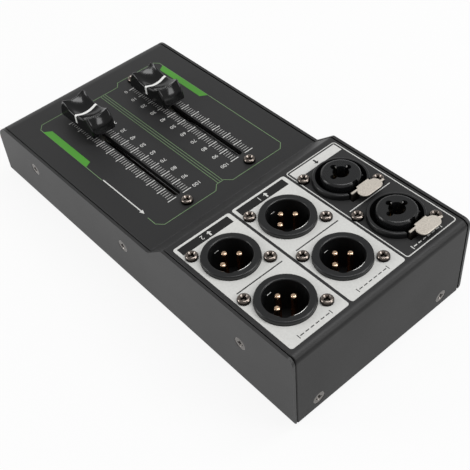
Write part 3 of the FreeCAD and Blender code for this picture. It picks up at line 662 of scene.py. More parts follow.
@dataclass(frozen=True)
class Finish:
    """Grained, coated or moulded surface of one kind.

    Args:
        name: name of the material.
        colour: colour in linear light.
        roughness: middle roughness.
        grain_size: size of the grain in metres.
        grain_contrast: how much the grain lightens and darkens the colour.
        depth: depth of the grain in metres.
        cloud_size: size of the slow unevenness in metres.
        cloud_contrast: how much it lightens and darkens the colour.
        roughness_spread: how much the roughness changes over the surface.
        edge_colour: lighter colour along edges, partly wear and partly a painted highlight.
        edge_width: width of that lighter edge in metres.
        edge_amount: how far an edge takes that colour.
        corner_reach: reach of the painted shade in corners, in metres.
        corner_amount: how much darker the painted shade makes a deep corner.
        metallic: 1 for bare metal.
        specular: strength of the reflection of a plastic or paint.
        coat: share of clear gloss over the colour.
        coat_roughness: roughness of that gloss.
        low: painted shade that the surface takes lower down, if it has one.
    """

    name: str
    colour: Colour
    roughness: float
    grain_size: float = 0.0004
    grain_contrast: float = 0.1
    depth: float = 0.000008
    cloud_size: float = 0.03
    cloud_contrast: float = 0.1
    roughness_spread: float = 0.1
    # Edge colour: partly wear, partly painted highlight; it shows only where edge_amount is set.
    edge_colour: Colour = (0.2, 0.2, 0.2)
    edge_width: float = 0.0002
    edge_amount: float = 0.0
    # Corners get painted shade by default.
    corner_reach: float = 0.0015
    corner_amount: float = 0.4
    metallic: float = 0.0
    specular: float = 0.5
    coat: float = 0.0
    coat_roughness: float = 0.05
    low: PaintedShadeBelow | None = None

    def texture(self, nodes: Nodes) -> bpy.types.ShaderNode:
        """Node with the Shade, Roughness and Height of this surface."""
        return nodes.add(
            grain_group(), Grain_Size=self.grain_size, Grain_Contrast=self.grain_contrast,
            Cloud_Size=self.cloud_size, Cloud_Contrast=self.cloud_contrast,
            Roughness=self.roughness, Roughness_Spread=self.roughness_spread, Depth=self.depth
        )

    def shaded_under(self, nodes: Nodes, colour: Socket) -> Socket:
        """Colour with the painted shade below the plane mixed in.

        Args:
            nodes: adds nodes to the material.
            colour: the colour that the surface has higher up.

        Returns:
            The socket that gives the whole colour.
        """
        if self.low is None:
            return colour
        up, distance = self.low.panel.level(self.low.height)
        return nodes.add(
            shade_under_plane_group(), Colour=colour, Low_Colour=(*self.low.colour, 1.0), Up=up, Level=distance,
            Rear_Level=SOCKET_PANEL.level(self.low.height)[1],
            Rear_Start=SOCKET_PANEL.corner_y * MM, Fade=self.low.fade
        ).outputs["Colour"]

    def material(self) -> bpy.types.Material:
        """Build the material, or find it if it is built already.

        Returns:
            The material.
        """
        found = bpy.data.materials.get(self.name)
        if found:
            return found
        made = bpy.data.materials.new(self.name)
        made.use_nodes = True
        made.diffuse_color = (*self.colour, 1.0)
        nodes = Nodes(made.node_tree)
        texture = self.texture(nodes)
        # Lighter edges (partly wear, partly painted highlight) and painted shade in corners.
        tint = nodes.add(
            edge_tone_and_corner_shade_group(), Colour=(*self.colour, 1.0), Shade=texture.outputs["Shade"],
            Edge_Colour=(*self.edge_colour, 1.0), Edge_Width=self.edge_width,
            Edge_Amount=self.edge_amount, Corner_Reach=self.corner_reach,
            Corner_Amount=self.corner_amount
        )
        height = texture.outputs["Height"]
        relief = nodes.add("ShaderNodeBump", Height=height, Strength=RELIEF, Distance=1.0)
        # Base colour gets the painted shade below a plane, where the finish has one.
        nodes.set(
            made.node_tree.nodes["Principled BSDF"],
            Base_Color=self.shaded_under(nodes, tint.outputs["Colour"]),
            Roughness=texture.outputs["Roughness"], Metallic=self.metallic,
            Specular_IOR_Level=self.specular, Coat_Weight=self.coat,
            Coat_Roughness=self.coat_roughness, Normal=relief.outputs["Normal"]
        )
        return made


@dataclass(frozen=True)
class DrawnMetal(Finish):
    """Bare or plated metal with fine lines drawn along it.

    Args:
        stretch: how many lines there are in a metre along X, Y and Z.
    """

    stretch: tuple[float, float, float] = (400.0, 4000.0, 4000.0)

    def texture(self, nodes: Nodes) -> bpy.types.ShaderNode:
        """Node with the Shade, Roughness and Height of this metal."""
        return nodes.add(
            streak_group(), Stretch=self.stretch, Contrast=self.grain_contrast,
            Roughness=self.roughness, Roughness_Spread=self.roughness_spread, Depth=self.depth
        )


# Tray and cover paint: the lighter edge colour is partly wear and partly painted highlight; corners
# and seams get painted shade.
TRAY_PAINT = Finish(
    "tray_paint_dark", (0.02, 0.02, 0.0202), 0.46, grain_size=0.00035, grain_contrast=0.35,
    cloud_contrast=0.12, edge_colour=(0.09, 0.09, 0.09), edge_amount=0.35, edge_width=0.00025
)
COVER_PAINT = replace(
    TRAY_PAINT, name="cover_paint_black", colour=(0.019, 0.019, 0.0194), roughness=0.48,
    edge_colour=(0.06, 0.06, 0.06), specular=0.42,
    # Painted shade: the cover's side bends below the fader panel are darkened where shade falls.
    low=PaintedShadeBelow((0.002, 0.002, 0.002), height=-0.55, fade=0.0004, panel=FADER_PANEL)
)
BLACK_INK = Finish(
    "black_screen_ink", (0.009, 0.009, 0.0092), 0.4, grain_size=0.00025, grain_contrast=0.1,
    depth=0.000004, corner_amount=0.0, specular=0.35
)
WHITE_INK = replace(
    BLACK_INK, name="white_screen_ink", colour=(0.66, 0.66, 0.64), roughness=0.5, grain_size=0.0008,
    grain_contrast=0.22, cloud_size=0.012, cloud_contrast=0.05
)
GREEN_INK = replace(
    BLACK_INK, name="green_screen_ink", colour=(0.078, 0.31, 0.035), roughness=0.5,
    cloud_size=0.012
)
PALE_GREEN_INK = replace(
    GREEN_INK, name="pale_green_screen_ink", colour=(0.15, 0.24, 0.12), grain_contrast=0.12,
    cloud_contrast=0.12
)
FOOT_RUBBER = Finish(
    "foot_rubber", (0.012, 0.012, 0.012), 0.75, grain_size=0.0006, grain_contrast=0.4,
    depth=0.00003, specular=0.3
)
# Socket plastics: the lighter rim colour is a painted highlight, and corners get painted shade.
RING_PLASTIC = Finish(
    "socket_ring_plastic", (0.008, 0.0085, 0.009), 0.34, grain_size=0.0003, grain_contrast=0.2,
    depth=0.000006, edge_colour=(0.07, 0.07, 0.075), edge_amount=0.25
)
INSERT_PLASTIC = replace(
    RING_PLASTIC, name="socket_insert_plastic", colour=(0.01, 0.0105, 0.011), roughness=0.27,
    depth=0.000004, edge_amount=0.2
)
# Gloss knob: the light edge colour is a painted highlight along its ridges and edges.
KNOB_PLASTIC = Finish(
    "knob_gloss_black", (0.003, 0.003, 0.0032), 0.18, grain_size=0.0005, grain_contrast=0.1,
    depth=0.000001, roughness_spread=0.06, corner_amount=0.2, edge_colour=(0.2, 0.2, 0.21),
    edge_amount=0.6, edge_width=0.0003, specular=0.32, coat=0.25, coat_roughness=0.1
)
# Index line: its corners get a little painted shade.
INDEX_WHITE = Finish(
    "knob_index_white", (0.92, 0.92, 0.9), 0.4, grain_contrast=0.04, depth=0.000002,
    corner_amount=0.1
)
SLIDER_PLASTIC = Finish("slider_white_plastic", (0.62, 0.6, 0.54), 0.45, grain_size=0.0005)
TRACK_COATING = Finish(
    "fader_carbon_track", (0.03, 0.02, 0.014), 0.5, grain_size=0.0002, grain_contrast=0.5,
    depth=0.00001
)
BOARD_LACQUER = Finish(
    "board_green_lacquer", (0.012, 0.10, 0.035), 0.35, grain_size=0.0007, grain_contrast=0.35,
    depth=0.00001, edge_colour=(0.25, 0.24, 0.12), edge_amount=0.5, coat=0.3
)
PLUG_PLASTIC = Finish("plug_black_plastic", (0.014, 0.014, 0.014), 0.45, grain_contrast=0.2)
CABLE_JACKET = Finish(
    "ribbon_cable_jacket", (0.3, 0.31, 0.33), 0.4, grain_size=0.0006, grain_contrast=0.15,
    cloud_contrast=0.15
)
# Socket and fader screws: the pale edge colour is a painted highlight on the rims; recesses get
# painted shade, and the head turns dark below 0.95 mm as painted shade.
SOCKET_SCREW = DrawnMetal(
    "socket_screw_bronze_nickel", (0.25, 0.215, 0.19), 0.2, grain_contrast=0.3, metallic=1.0,
    corner_reach=0.0012, corner_amount=0.9, edge_colour=(0.85, 0.8, 0.74), edge_amount=0.5,
    edge_width=0.00012, stretch=(3500.0, 3500.0, 900.0),
    low=PaintedShadeBelow((0.015, 0.013, 0.012), height=0.95, fade=0.0005)
)
FADER_SCREW = replace(
    SOCKET_SCREW, name="fader_screw_bronze_nickel",
    low=replace(SOCKET_SCREW.low, panel=FADER_PANEL)
)
# Case screws: pale edges are a painted highlight, and the countersink and recess get painted shade.
CASE_SCREW = DrawnMetal(
    "case_screw_dark_zinc", (0.17, 0.157, 0.147), 0.22, grain_contrast=0.3, metallic=1.0,
    corner_reach=0.0026, corner_amount=1.0, edge_colour=(0.75, 0.72, 0.7), edge_amount=0.75,
    edge_width=0.00016, stretch=(3500.0, 3500.0, 900.0)
)
# Latch: its pale edges are a painted highlight, and below 2.85 mm it turns dark as painted shade
# under the plate.
LATCH_NICKEL = Finish(
    "latch_champagne_nickel", (0.63, 0.58, 0.51), 0.4, grain_size=0.00045, grain_contrast=0.7,
    depth=0.00005, metallic=0.3, corner_amount=0.5, edge_colour=(0.8, 0.76, 0.68), edge_amount=0.4,
    low=PaintedShadeBelow((0.012, 0.01, 0.008), height=2.85, fade=0.0003)
)
# Near-white contacts: partly the silver of real contacts, partly a painted glint where light
# catches the socket's edges.
SILVER_CONTACT_GLINT = Finish(
    "silver_contact_and_painted_glint", (0.95, 0.95, 0.92), 0.25, metallic=0.2, depth=0.000002, corner_amount=0.0
)
# Output pins: below 2.2 mm under the panel the gold turns brown as painted shade down in the
# cavity.
PIN_GOLD = DrawnMetal(
    "output_pin_gold", (0.85, 0.6, 0.42), 0.22, grain_contrast=0.15, metallic=1.0, depth=0.000002,
    corner_amount=0.0, stretch=(3000.0, 3000.0, 500.0),
    low=PaintedShadeBelow((0.6, 0.27, 0.12), height=-2.2, fade=0.0014)
)
# Fader frame: its near-black colour is painted shade that stands in for the dark inside of the
# slot.
SLOT_SHADE_STEEL = Finish(
    "fader_frame_painted_slot_shade", (0.006, 0.006, 0.006), 0.5, grain_contrast=0.3, specular=0.3
)
SPRING_STEEL = DrawnMetal(
    "plain_steel", (0.55, 0.55, 0.55), 0.28, grain_contrast=0.2, metallic=1.0,
    stretch=(600.0, 5000.0, 5000.0)
)
CONTACT_GOLD = DrawnMetal(
    "contact_pale_gold", (0.86, 0.72, 0.5), 0.2, grain_contrast=0.15, metallic=1.0, depth=0.000002,
    stretch=(3000.0, 3000.0, 500.0)
)


class Ink(Enum):
    """Inks screened on the cover."""

    WHITE = WHITE_INK
    GREEN_LINE = PALE_GREEN_INK
    GREEN_TAG = GREEN_INK
    BLACK = BLACK_INK


# Sub-assemblies


def dress(finishes: dict[str, Finish], prefix: str = "") -> None:
    """Give CAD nodes their finishes.

    Args:
        finishes: the finish of each node, under the node's name without the prefix.
        prefix: what the nodes' names start with.
    """
    for name, finish in finishes.items():
        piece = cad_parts[prefix + name]
        if not piece.material_slots:
            piece.data.materials.append(None)
        for place in piece.material_slots:
            place.material = finish.material()
        LOG.info("dressed %s with %s", prefix + name, finish.name)


def add_piece(
    name: str, work: bmesh.types.BMesh, placing: Matrix, finish: Finish
) -> bpy.types.Object:
    """Turn worked shapes into one piece of the chassis.

    Args:
        name: name of the piece.
        work: the shapes in mm; they are used up.
        placing: matrix from there to the shared frame.
        finish: the finish that the piece gets.

    Returns:
        The piece.
    """
    mesh = bpy.data.meshes.new(name)
    work.to_mesh(mesh)
    work.free()
    mesh.transform(placing)
    mesh.materials.append(finish.material())
    piece = object_from(mesh, name)
    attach(piece, CHASSIS)
    LOG.info("made %s: %d faces", name, len(mesh.polygons))
    return piece


def place_print(
    name: str, meshes: Sequence[bpy.types.Mesh], panel: Panel, ink: Ink, lift: float = 0.0
) -> None:
    """Set printed films on a panel as one piece.

    Args:
        name: name of the piece.
        meshes: the films, in mm on the panel.
        panel: the panel that carries them.
        ink: the ink that they are printed in.
        lift: how much higher than other films this one stands, in mm.
    """
    work = bmesh.new()
    for mesh in meshes:
        work.from_mesh(mesh)
        bpy.data.meshes.remove(mesh)
    bmesh.ops.remove_doubles(work, verts=work.verts, dist=1e-4)
    bmesh.ops.recalc_face_normals(work, faces=work.faces)
    placing = panel.matrix() @ Matrix.Translation((0.0, 0.0, FILM * FILM_RISE + lift))
    add_piece(name, work, placing, ink.value)


@dataclass
class Case:
    """Bent tray, cover, feet and the screws that hold the case together."""

    def build(self) -> None:
        """Dress the case."""
        dress(
            {
                "bottom_tray": TRAY_PAINT, "top_cover": COVER_PAINT, "rubber_feet": FOOT_RUBBER,
                "side_screws": CASE_SCREW, "end_screws": CASE_SCREW, "fader_screws": FADER_SCREW,
                "socket_screws": SOCKET_SCREW
            }
        )


@dataclass
class FaderPanelPrint:
    """Scales, numbers and green frame printed round the faders.

    Args:
        slot_x: distance of each slot from the middle.
        first_mark: run of the mark at 0.
        mark_pitch: distance between two numbered marks.
        numbered: spaces between numbered marks.
        steps: short spaces between two numbered marks.
        shift: how far the marks sit to the left of the slot.
        long_reach: nearest and furthest place of a long mark from the slot.
        short_reach: the same of a short mark.
        stroke: width of a long mark.
        short_stroke: width of a short mark.
        digit_height: height of a number.
        number_x: place where the numbers start, from the middle.
        line_width: width of the line of the green frame.
        middle_lines: places of the three lines between the faders.
        middle_run: run of their ends.
        middle_width: width of those lines.
        arrow_x: place of the long arrow.
        arrow_run: run of its tail and of its point.
        arrow_shaft: half the width of its shaft.
        arrow_head: half the width and the length of its head.
        tag_lift: how much higher the green tags stand than the frame, which they lie on.
    """

    slot_x: float = 16.6
    first_mark: float = 24.15
    mark_pitch: float = 7.0
    numbered: int = 10
    steps: int = 5
    shift: float = 0.1
    long_reach: Point = (1.75, 6.0)
    short_reach: Point = (2.35, 5.2)
    stroke: float = 0.4
    short_stroke: float = 0.19
    digit_height: float = 1.95
    number_x: float = 9.55
    line_width: float = 0.32
    middle_lines: tuple[float, ...] = (-1.15, 0.05, 1.25)
    middle_run: Point = (18.4, 100.1)
    middle_width: float = 0.272
    arrow_x: float = 33.0
    arrow_run: Point = (64.6, 92.6)
    arrow_shaft: float = 0.25
    arrow_head: Point = (0.9, 2.2)
    tag_lift: float = 0.004

    def marks(self, side: int) -> list[Loop]:
        """Marks on both sides of one slot.

        Args:
            side: 1 for the right fader, -1 for the left one.

        Returns:
            One outline for each mark.
        """
        middle = self.slot_x * side - self.shift
        loops: list[Loop] = []
        for i in range(self.numbered * self.steps + 1):
            y = self.first_mark + self.mark_pitch * i / self.steps
            long = i % self.steps == 0
            near, far = self.long_reach if long else self.short_reach
            width = self.stroke if long else self.short_stroke
            for way in (-1, 1):
                ends = sorted((middle + way * near, middle + way * far))
                loops.append(bar(ends[0], ends[1], y, width))
        return loops

    def numbers(self, side: int) -> list[bpy.types.Mesh]:
        """Numbers from 0 to 100 beside one scale.

        Args:
            side: 1 for the right fader, -1 for the left one.

        Returns:
            One mesh for each number.
        """
        made = []
        align = Align.RIGHT if side > 0 else Align.LEFT
        for i in range(self.numbered + 1):
            mesh = digits(str(10 * i), self.digit_height, align)
            y = self.first_mark + self.mark_pitch * i
            mesh.transform(Matrix.Translation((self.number_x * side, y, 0.0)))
            made.append(mesh)
        return made

    def green_lines(self) -> list[Loop]:
        """Outlines of the frame and of the three lines between the faders."""
        path = [
            (33.4, 64.3), (33.4, 18.2), (31.1, 15.6), (10.4, 15.6), (8.3, 18.3), (-8.3, 18.3),
            (-10.3, 15.6), (-31.2, 15.6), (-33.1, 17.9), (-33.1, 60.0), (-33.1, 100.2),
            (-30.4, 102.9), (-4.2, 102.9), (-1.6, 100.2), (2.2, 100.2), (4.8, 102.9), (31.0, 102.9),
            (33.4, 100.2), (33.4, 95.3)
        ]
        loops = ribbon(path, self.line_width)
        for x in self.middle_lines:
            loops += ribbon([(x, run) for run in self.middle_run], self.middle_width)
        return loops

    def tags(self) -> list[Loop]:
        """Outlines of the two filled green tags at the sides."""
        left = [(-33.1, 20.3), (-30.0, 22.2), (-30.0, 51.0), (-33.1, 53.0)]
        right = [(33.5, 20.3), (33.5, 53.0), (30.3, 51.5), (30.3, 22.6)]
        return [left, right]

    def build(self) -> None:
        """Print the fader panel."""
        panel = FADER_PANEL
        for side, word in ((1, "right"), (-1, "left")):
            place_print(f"{word}_scale_marks", [filled(self.marks(side))], panel, Ink.WHITE)
            place_print(f"{word}_scale_numbers", self.numbers(side), panel, Ink.WHITE)
        green = [filled([loop]) for loop in self.green_lines()]
        place_print("green_frame_lines", green, panel, Ink.GREEN_LINE)
        way = arrow(self.arrow_x, *self.arrow_run, self.arrow_shaft, self.arrow_head)
        place_print("travel_arrow", [filled([way])], panel, Ink.WHITE)
        tags = [filled([loop]) for loop in self.tags()]
        place_print("green_side_tags", tags, panel, Ink.GREEN_TAG, self.tag_lift)


@dataclass
class SocketPanelPrint:
    """Light fields, frames and label bars printed round the sockets.

    Args:
        ring_hole: radius of the hole in the ink round a socket.
        screw_hole: radius of the hole in the ink round a screw.
        screw_steps: corners of that hole.
        screw_x: distance of a screw from its socket across the panel.
        screw_y: the same along the panel.
        front: run of the front edge of the light fields.
        rear: run of their rear edge.
        corner: radius of their corners.
        divider: run of the line between the rows.
        divider_insets: how far that line keeps from the left and right edge of a light field.
        divider_width: width of that line in a light field.
        line_width: width of a printed line of the input column.
        word_run: run of the dashed lines behind the rear sockets.
        word_length: length of those lines.
        label_insets: how far a label bar keeps from the left and right edge of its field.
        label_run: run of a label bar's front and rear edge.
        label_corner: radius of a label bar's corners.
        label_spread: how far a dark bar reaches under the ink round its opening.
        label_drop: how much lower than other films the dark bars lie.
        mark_run: run of the marks on a dark bar.
        mark_places: places of the arrow and of the number from the bar's middle.
        mark_lengths: length of the arrow and height of the number.
        mark_shares: head and half the shaft's width as shares of an arrow's length.
        input_front: how much further back than the light fields the input frame starts.
        input_rear: how much further forward it ends.
        input_label: left and right edge of the input column's label bar.
        input_label_run: run of its front and rear edge.
        input_mark: place and length of its arrow.
        input_divider: left and right end of the line between the inputs.
    """

    ring_hole: float = 11.12
    screw_hole: float = 1.7
    screw_steps: int = 24
    screw_x: float = 9.94
    screw_y: float = 10.07
    front: float = 2.8
    rear: float = 65.3
    corner: float = 1.1
    divider: float = 34.9
    divider_insets: Point = (2.7, 3.0)
    divider_width: float = 0.54
    line_width: float = 0.42
    word_run: float = 63.1
    word_length: float = 15.0
    label_insets: Point = (1.7, 1.4)
    label_run: Point = (3.8, 7.8)
    label_corner: float = 0.15
    label_spread: float = 0.1
    label_drop: float = 0.014
    mark_run: float = 5.8
    mark_places: Point = (-1.6, 1.0)
    mark_lengths: Point = (2.6, 2.2)
    mark_shares: Point = (0.42, 0.14)
    input_front: float = 0.2
    input_rear: float = 0.3
    input_label: Point = (-40.9, -16.4)
    input_label_run: Point = (3.9, 8.3)
    input_mark: tuple[float, float, float] = (-28.6, 6.1, 2.8)
    input_divider: Point = (-39.5, -17.7)

    def holes(self, x: float) -> list[Loop]:
        """Holes in the ink for the sockets and screws of one column.

        Args:
            x: middle of the column.

        Returns:
            One outline for each hole.
        """
        loops: list[Loop] = []
        for row in Row:
            loops.append(circle(x, row.value, self.ring_hole))
            for way in (-1, 1):
                place = (x + self.screw_x * way, row.value - self.screw_y * way)
                loops.append(circle(*place, self.screw_hole, self.screw_steps))
        return loops

    def label_outline(self, column: Column, spread: float) -> Loop:
        """Outline of the label bar in a light field.

        Args:
            column: the field's column.
            spread: how much larger than the opening the outline is on each side.

        Returns:
            The outline's points.
        """
        left = column.left + self.label_insets[0] - spread
        right = column.right - self.label_insets[1] + spread
        front, rear = self.label_run
        return rounded_box(left, right, front - spread, rear + spread, self.label_corner)

    def light_field(self, column: Column) -> bpy.types.Mesh:
        """Light field of an output column, with openings for its label bar and its marks.

        Args:
            column: the column.

        Returns:
            The field's mesh.
        """
        start = column.left + self.divider_insets[0]
        end = column.right - self.divider_insets[1]
        loops = [
            rounded_box(column.left, column.right, self.front, self.rear, self.corner),
            self.label_outline(column, 0.0), bar(start, end, self.divider, self.divider_width),
            *self.holes(column.x), *dashes(column.x, self.word_run, self.word_length)
        ]
        return filled(loops)

    def mark(self, x: float, y: float, length: float, towards: int) -> Loop:
        """Plain short arrow on a label bar.

        Args:
            x: its middle across the panel.
            y: its middle along the panel.
            length: its length.
            towards: 1 to point to the sockets, -1 to point to the faders.

        Returns:
            The outline's points.
        """
        half = length / 2 * towards
        head, shaft = (length * share for share in self.mark_shares)
        return arrow(x, y - half, y + half, shaft, (head, head))

    def label_marks(self, column: Column) -> list[bpy.types.Mesh]:
        """Arrow and number on a label bar.

        Args:
            column: the bar's column.

        Returns:
            One mesh for each of them.
        """
        middle = (column.left + column.right) / 2
        length, height = self.mark_lengths
        mark = self.mark(middle + self.mark_places[0], self.mark_run, length, -1)
        figure = digits(column.number, height, Align.LEFT)
        place = (middle + self.mark_places[1], self.mark_run, 0.0)
        figure.transform(Matrix.Translation(place))
        return [filled([mark]), figure]

    def input_frame(self) -> list[bpy.types.Mesh]:
        """Outline, label bar, divider and dashed line of the input column."""
        front, rear = self.front + self.input_front, self.rear - self.input_rear
        outline = rounded_box(INPUTS.left, INPUTS.right, front, rear, self.corner)
        label = rounded_box(*self.input_label, *self.input_label_run, self.label_corner)
        parts = [
            ribbon(outline, self.line_width, closed=True), [label, self.mark(*self.input_mark, 1)],
            [bar(*self.input_divider, self.divider, self.line_width)],
            *([loop] for loop in dashes(INPUTS.x, self.word_run, self.word_length))
        ]
        return [filled(loops) for loops in parts]

    def build(self) -> None:
        """Print the socket panel."""
        panel = SOCKET_PANEL
        bars, marks = [], []
        for column in OUTPUTS:
            light = [self.light_field(column)]
            place_print(f"{column.name}_light_field", light, panel, Ink.WHITE)
            bars.append(filled([self.label_outline(column, self.label_spread)]))
            marks += self.label_marks(column)
        place_print("output_label_bars", bars, panel, Ink.BLACK, -self.label_drop)
        place_print("output_label_marks", marks, panel, Ink.WHITE)
        place_print("input_frame_print", self.input_frame(), panel, Ink.WHITE)


@dataclass
class Fader:
    """One slide fader with its knob.

    Args:
        side: right or left.
    """

    side: str

    def build(self) -> None:
        """Dress the fader's nodes."""
        dress(
            {
                "frame": SLOT_SHADE_STEEL, "rails": SPRING_STEEL, "track": TRACK_COATING,
                "terminals": CONTACT_GOLD, "carriage": SLIDER_PLASTIC, "lever": SPRING_STEEL,
                "wiper": CONTACT_GOLD, "knob": KNOB_PLASTIC, "index_line": INDEX_WHITE
            },
            f"{self.side}_fader_",
        )


@dataclass(frozen=True)
class ContactEdge:
    """Thin round edge of a shell contact that lies in the wall of a cavity; its brightness is
    partly a painted glint.

    Args:
        radius: radius that it lies on.
        height: height above the panel.
        thickness: half its thickness in the middle, in mm.
        first: angle at which it starts, in degrees.
        last: angle at which it ends.
        along: steps along it.
        around: corners of its section.
        blunt: share of the sine of its taper that its ends keep.
        taper: power that rounds the taper.
    """

    radius: float
    height: float
    thickness: float
    first: float
    last: float
    along: int = 28
    around: int = 10
    blunt: float = 0.05
    taper: float = 0.4

    def ring(
        self, work: bmesh.types.BMesh, middle: Point, share: float
    ) -> list[bmesh.types.BMVert]:
        """Corners of its section at one place.

        Args:
            work: the mesh that gets them.
            middle: middle of the cavity.
            share: place along it, from 0 to 1.

        Returns:
            The corners in order.
        """
        turn = math.radians(self.first + (self.last - self.first) * share)
        reach = self.thickness * max(math.sin(math.pi * share), self.blunt) ** self.taper
        corners = []
        for corner in range(self.around):
            lean = 2.0 * math.pi * corner / self.around
            out = self.radius + reach * math.cos(lean)
            x, y = middle[0] + out * math.cos(turn), middle[1] + out * math.sin(turn)
            corners.append(work.verts.new((x, y, self.height + reach * math.sin(lean))))
        return corners

    def add(self, work: bmesh.types.BMesh, middle: Point) -> None:
        """Add it to a mesh.

        Args:
            work: the mesh.
            middle: middle of the cavity.
        """
        rings = [self.ring(work, middle, step / self.along) for step in range(self.along + 1)]
        for ring, following in zip(rings, rings[1:]):
            for corner in range(self.around):
                other = (corner + 1) % self.around
                work.faces.new((ring[corner], ring[other], following[other], following[corner]))
        work.faces.new(rings[0])
        work.faces.new(rings[-1])


@dataclass
class OutputSocket:
    """Male output socket.

    Args:
        column: its column.
        row: its row.
        contact_edges: bright edges of its shell contact, partly a painted glint.
    """

    column: Column
    row: Row
    contact_edges: tuple[ContactEdge, ...] = (
        ContactEdge(8.33, 1.6, 0.15, 66.0, 110.0), ContactEdge(8.1, -3.0, 0.07, -96.0, -80.0)
    )

    def build(self) -> None:
        """Dress the socket and its pins, and add the bright edges of its shell contact, partly a
        painted glint.
        """
        prefix = f"{self.column.name}_{self.row.name.lower()}_output_"
        dress({"socket": RING_PLASTIC, "pins": PIN_GOLD}, prefix)
        work = bmesh.new()
        for edge in self.contact_edges:
            edge.add(work, (self.column.x, self.row.value))
        bmesh.ops.recalc_face_normals(work, faces=work.faces)
        name, placing = f"{prefix}shell_contact", SOCKET_PANEL.matrix()
        add_piece(name, work, placing, SILVER_CONTACT_GLINT).data.shade_smooth()


@dataclass
class InputSocket:
    """Combination input socket with its push latch.

    Args:
        row: its row.
        pin_circle: radius of the circle that its three pin holes lie on.
        hole_radius: radius of a pin hole.
        tip_places: for each pin hole, its direction from the middle and the direction of the
            contact tip from the hole's own middle, in degrees.
        tip_height: height of the tips above the panel.
        tip_size: half the width, height and thickness of a tip.
        tip_share: how much of a tip's half thickness is sunk behind the hole's wall.
        tip_steps: corners of a tip round its axis and along it.
    """

    row: Row
    pin_circle: float = 3.95
    hole_radius: float = 1.25
    tip_places: tuple[Point, ...] = ((180.0, 248.0), (270.0, 176.0), (0.0, 112.0))
    tip_height: float = 3.55
    tip_size: tuple[float, float, float] = (0.52, 0.6, 0.36)
    tip_share: float = 0.6
    tip_steps: tuple[int, int] = (16, 10)

    def tips(self) -> bmesh.types.BMesh:
        """Bright tips of the pin contacts, let into the walls of the pin holes; their brightness is
        partly a painted glint.

        Returns:
            The tips, in mm on the socket panel.
        """
        work = bmesh.new()
        width, height, depth = self.tip_size
        around, along = self.tip_steps
        for hole, side in self.tip_places:
            place = Vector((INPUTS.x, self.row.value, self.tip_height))
            for angle, reach in (
                (hole, self.pin_circle), (side, self.hole_radius + depth * self.tip_share)
            ):
                turn = math.radians(angle)
                place += Vector((math.cos(turn), math.sin(turn), 0.0)) * reach
            shape = (
                Matrix.Translation(place)
                @ Matrix.Rotation(math.radians(side), 4, "Z")
                @ Matrix.Diagonal((depth, width, height, 1.0))
            )
            bmesh.ops.create_uvsphere(
                work, u_segments=around, v_segments=along, radius=1.0, matrix=shape
            )
        return work

    def build(self) -> None:
        """Dress the socket and its latch, and add the contact tips."""
        prefix = f"{self.row.name.lower()}_input_"
        dress(
            {
                "socket": RING_PLASTIC, "insert": INSERT_PLASTIC, "contacts": CONTACT_GOLD,
                "latch": LATCH_NICKEL, "latch_pin": SPRING_STEEL, "latch_spring": SPRING_STEEL
            },
            prefix,
        )
        name, placing = f"{prefix}contact_tips", SOCKET_PANEL.matrix()
        add_piece(name, self.tips(), placing, SILVER_CONTACT_GLINT).data.shade_smooth()


@dataclass
class Wiring:
    """Two circuit boards and the flat cable between them."""

    def build(self) -> None:
        """Dress the boards, plugs and cable."""
        dress(
            {
                "fader_board": BOARD_LACQUER, "socket_board": BOARD_LACQUER,
                "fader_board_plug": PLUG_PLASTIC, "socket_board_plug": PLUG_PLASTIC,
                "ribbon_cable": CABLE_JACKET
            }
        )


# Studio


@dataclass(frozen=True)
class SoftLight:
    """Rectangular studio light aimed at the object.

    Args:
        name: its name.
        direction: direction from the object to the light.
        distance: how far away it is, in metres.
        size: its width and height in metres.
        power: its power in watts.
    """

    name: str
    direction: tuple[float, float, float]
    distance: float
    size: Point
    power: float

    def build(self) -> None:
        """Hang the light."""
        lamp = bpy.data.lights.new(self.name, "AREA")
        lamp.shape = "RECTANGLE"
        lamp.size, lamp.size_y = self.size
        lamp.energy = self.power
        holder = bpy.data.objects.new(self.name, lamp)
        way = Vector(self.direction).normalized()
        holder.location = way * self.distance
        holder.rotation_euler = way.to_track_quat("Z", "Y").to_euler()
        bpy.context.scene.collection.objects.link(holder)
        LOG.info("hung %s", self.name)


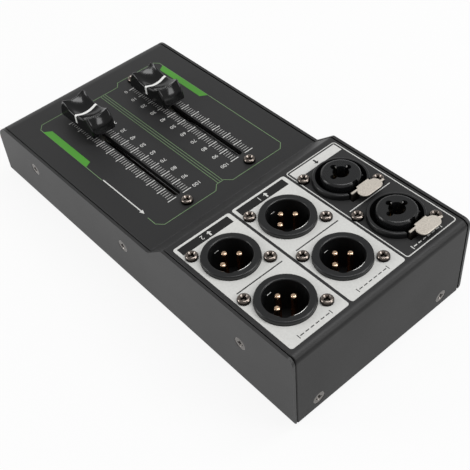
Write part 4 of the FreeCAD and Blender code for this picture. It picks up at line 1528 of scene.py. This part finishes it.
@dataclass
class Studio:
    """Pale floor, soft lights, plain surroundings and the camera.

    Args:
        floor_size: side of the floor in metres.
        floor_drop: how far under the feet's surface it lies, in metres.
        floor_surface: its colour, roughness and strength of reflection.
        surround: brightness of the surroundings.
        white_shares: how much of the floor is plain white for each kind of ray.
        lens: focal length of the camera in mm.
        location: the camera's place in metres.
        turn: the camera's direction as a quaternion.
        lights: the studio's lights.
    """

    floor_size: float = 12.0
    floor_drop: float = 0.00002
    floor_surface: tuple[Colour, float, float] = ((0.86, 0.86, 0.86), 0.9, 0.1)
    surround: float = 0.36
    white_shares: tuple[tuple[str, float], ...] = (
        ("Is Camera Ray", 0.9), ("Is Glossy Ray", 0.6), ("Is Transmission Ray", 0.9)
    )
    lens: float = 69.278
    location: tuple[float, float, float] = (0.15853075, 0.21896327, 0.27996938)
    turn: tuple[float, float, float, float] = (0.34031808, 0.10155350, 0.35511607, 0.86473294)
    lights: tuple[SoftLight, ...] = (
        SoftLight("top_strip", (-0.28, 0.14, 0.95), 1.0, (0.26, 0.85), 4.2),
        SoftLight("back_softbox", (-0.42, -0.86, 0.27), 1.2, (1.4, 0.5), 1.3),
        SoftLight("right_softbox", (-0.42, 0.72, 0.55), 0.9, (0.3, 0.45), 2.1),
        SoftLight("left_softbox", (0.70, -0.545, 0.39), 0.9, (0.3, 0.45), 2.1),
    )

    def floor_material(self) -> bpy.types.Material:
        """White floor that shows the object's shadow and looks white to the camera.

        Returns:
            The floor's material.
        """
        made = bpy.data.materials.new("studio_floor")
        made.use_nodes = True
        nodes = Nodes(made.node_tree)
        shader, outlet = (nodes.tree.nodes[n] for n in ("Principled BSDF", "Material Output"))
        colour, roughness, specular = self.floor_surface
        nodes.set(
            shader, Base_Color=(*colour, 1.0), Roughness=roughness, Specular_IOR_Level=specular
        )
        white, path = nodes.add("ShaderNodeEmission"), nodes.add("ShaderNodeLightPath")
        white_share = reduce(
            partial(nodes.maths, "MAXIMUM"),
            [nodes.maths("MULTIPLY", path.outputs[k], share) for k, share in self.white_shares],
        )
        mix = nodes.add("ShaderNodeMixShader")
        for entry, source in zip(mix.inputs, (white_share, shader.outputs[0], white.outputs[0])):
            nodes.feed(entry, source)
        nodes.set(outlet, Surface=mix.outputs[0])
        return made

    def build_floor(self) -> None:
        """Lay the floor under the feet."""
        half = self.floor_size / 2
        mesh = bpy.data.meshes.new("studio_floor")
        corners = [(-half, -half, 0.0), (half, -half, 0.0), (half, half, 0.0), (-half, half, 0.0)]
        mesh.from_pydata(corners, [], [(0, 1, 2, 3)])
        mesh.materials.append(self.floor_material())
        floor = object_from(mesh, "studio_floor")
        floor.location.z = -self.floor_drop

    def build_world(self) -> None:
        """Light the surroundings evenly."""
        world = bpy.data.worlds.new("studio_surroundings")
        world.use_nodes = True
        sky = world.node_tree.nodes["Background"]
        sky.inputs["Color"].default_value = (1.0, 1.0, 1.0, 1.0)
        sky.inputs["Strength"].default_value = self.surround
        bpy.context.scene.world = world

    def build_camera(self) -> None:
        """Set the camera."""
        camera = bpy.data.cameras.new("photo_camera")
        camera.lens = self.lens
        camera.sensor_width = 36.0
        camera.clip_start = 0.01
        holder = bpy.data.objects.new("photo_camera", camera)
        holder.location = self.location
        holder.rotation_mode = "QUATERNION"
        holder.rotation_quaternion = self.turn
        bpy.context.scene.collection.objects.link(holder)
        bpy.context.scene.camera = holder

    def build(self) -> None:
        """Set up the studio."""
        bpy.context.scene.view_settings.view_transform = "Standard"
        self.build_camera()
        self.build_floor()
        self.build_world()
        for light in self.lights:
            light.build()


def main() -> None:
    """Build the studio, then dress each sub-assembly in order."""
    logging.basicConfig(level=logging.INFO, format="%(name)s: %(message)s")
    Studio().build()
    Case().build()
    FaderPanelPrint().build()
    SocketPanelPrint().build()
    for side in ("right", "left"):
        Fader(side).build()
    for row in Row:
        InputSocket(row).build()
        for column in OUTPUTS:
            OutputSocket(column, row).build()
    Wiring().build()


if __name__ == "__main__":
    main()
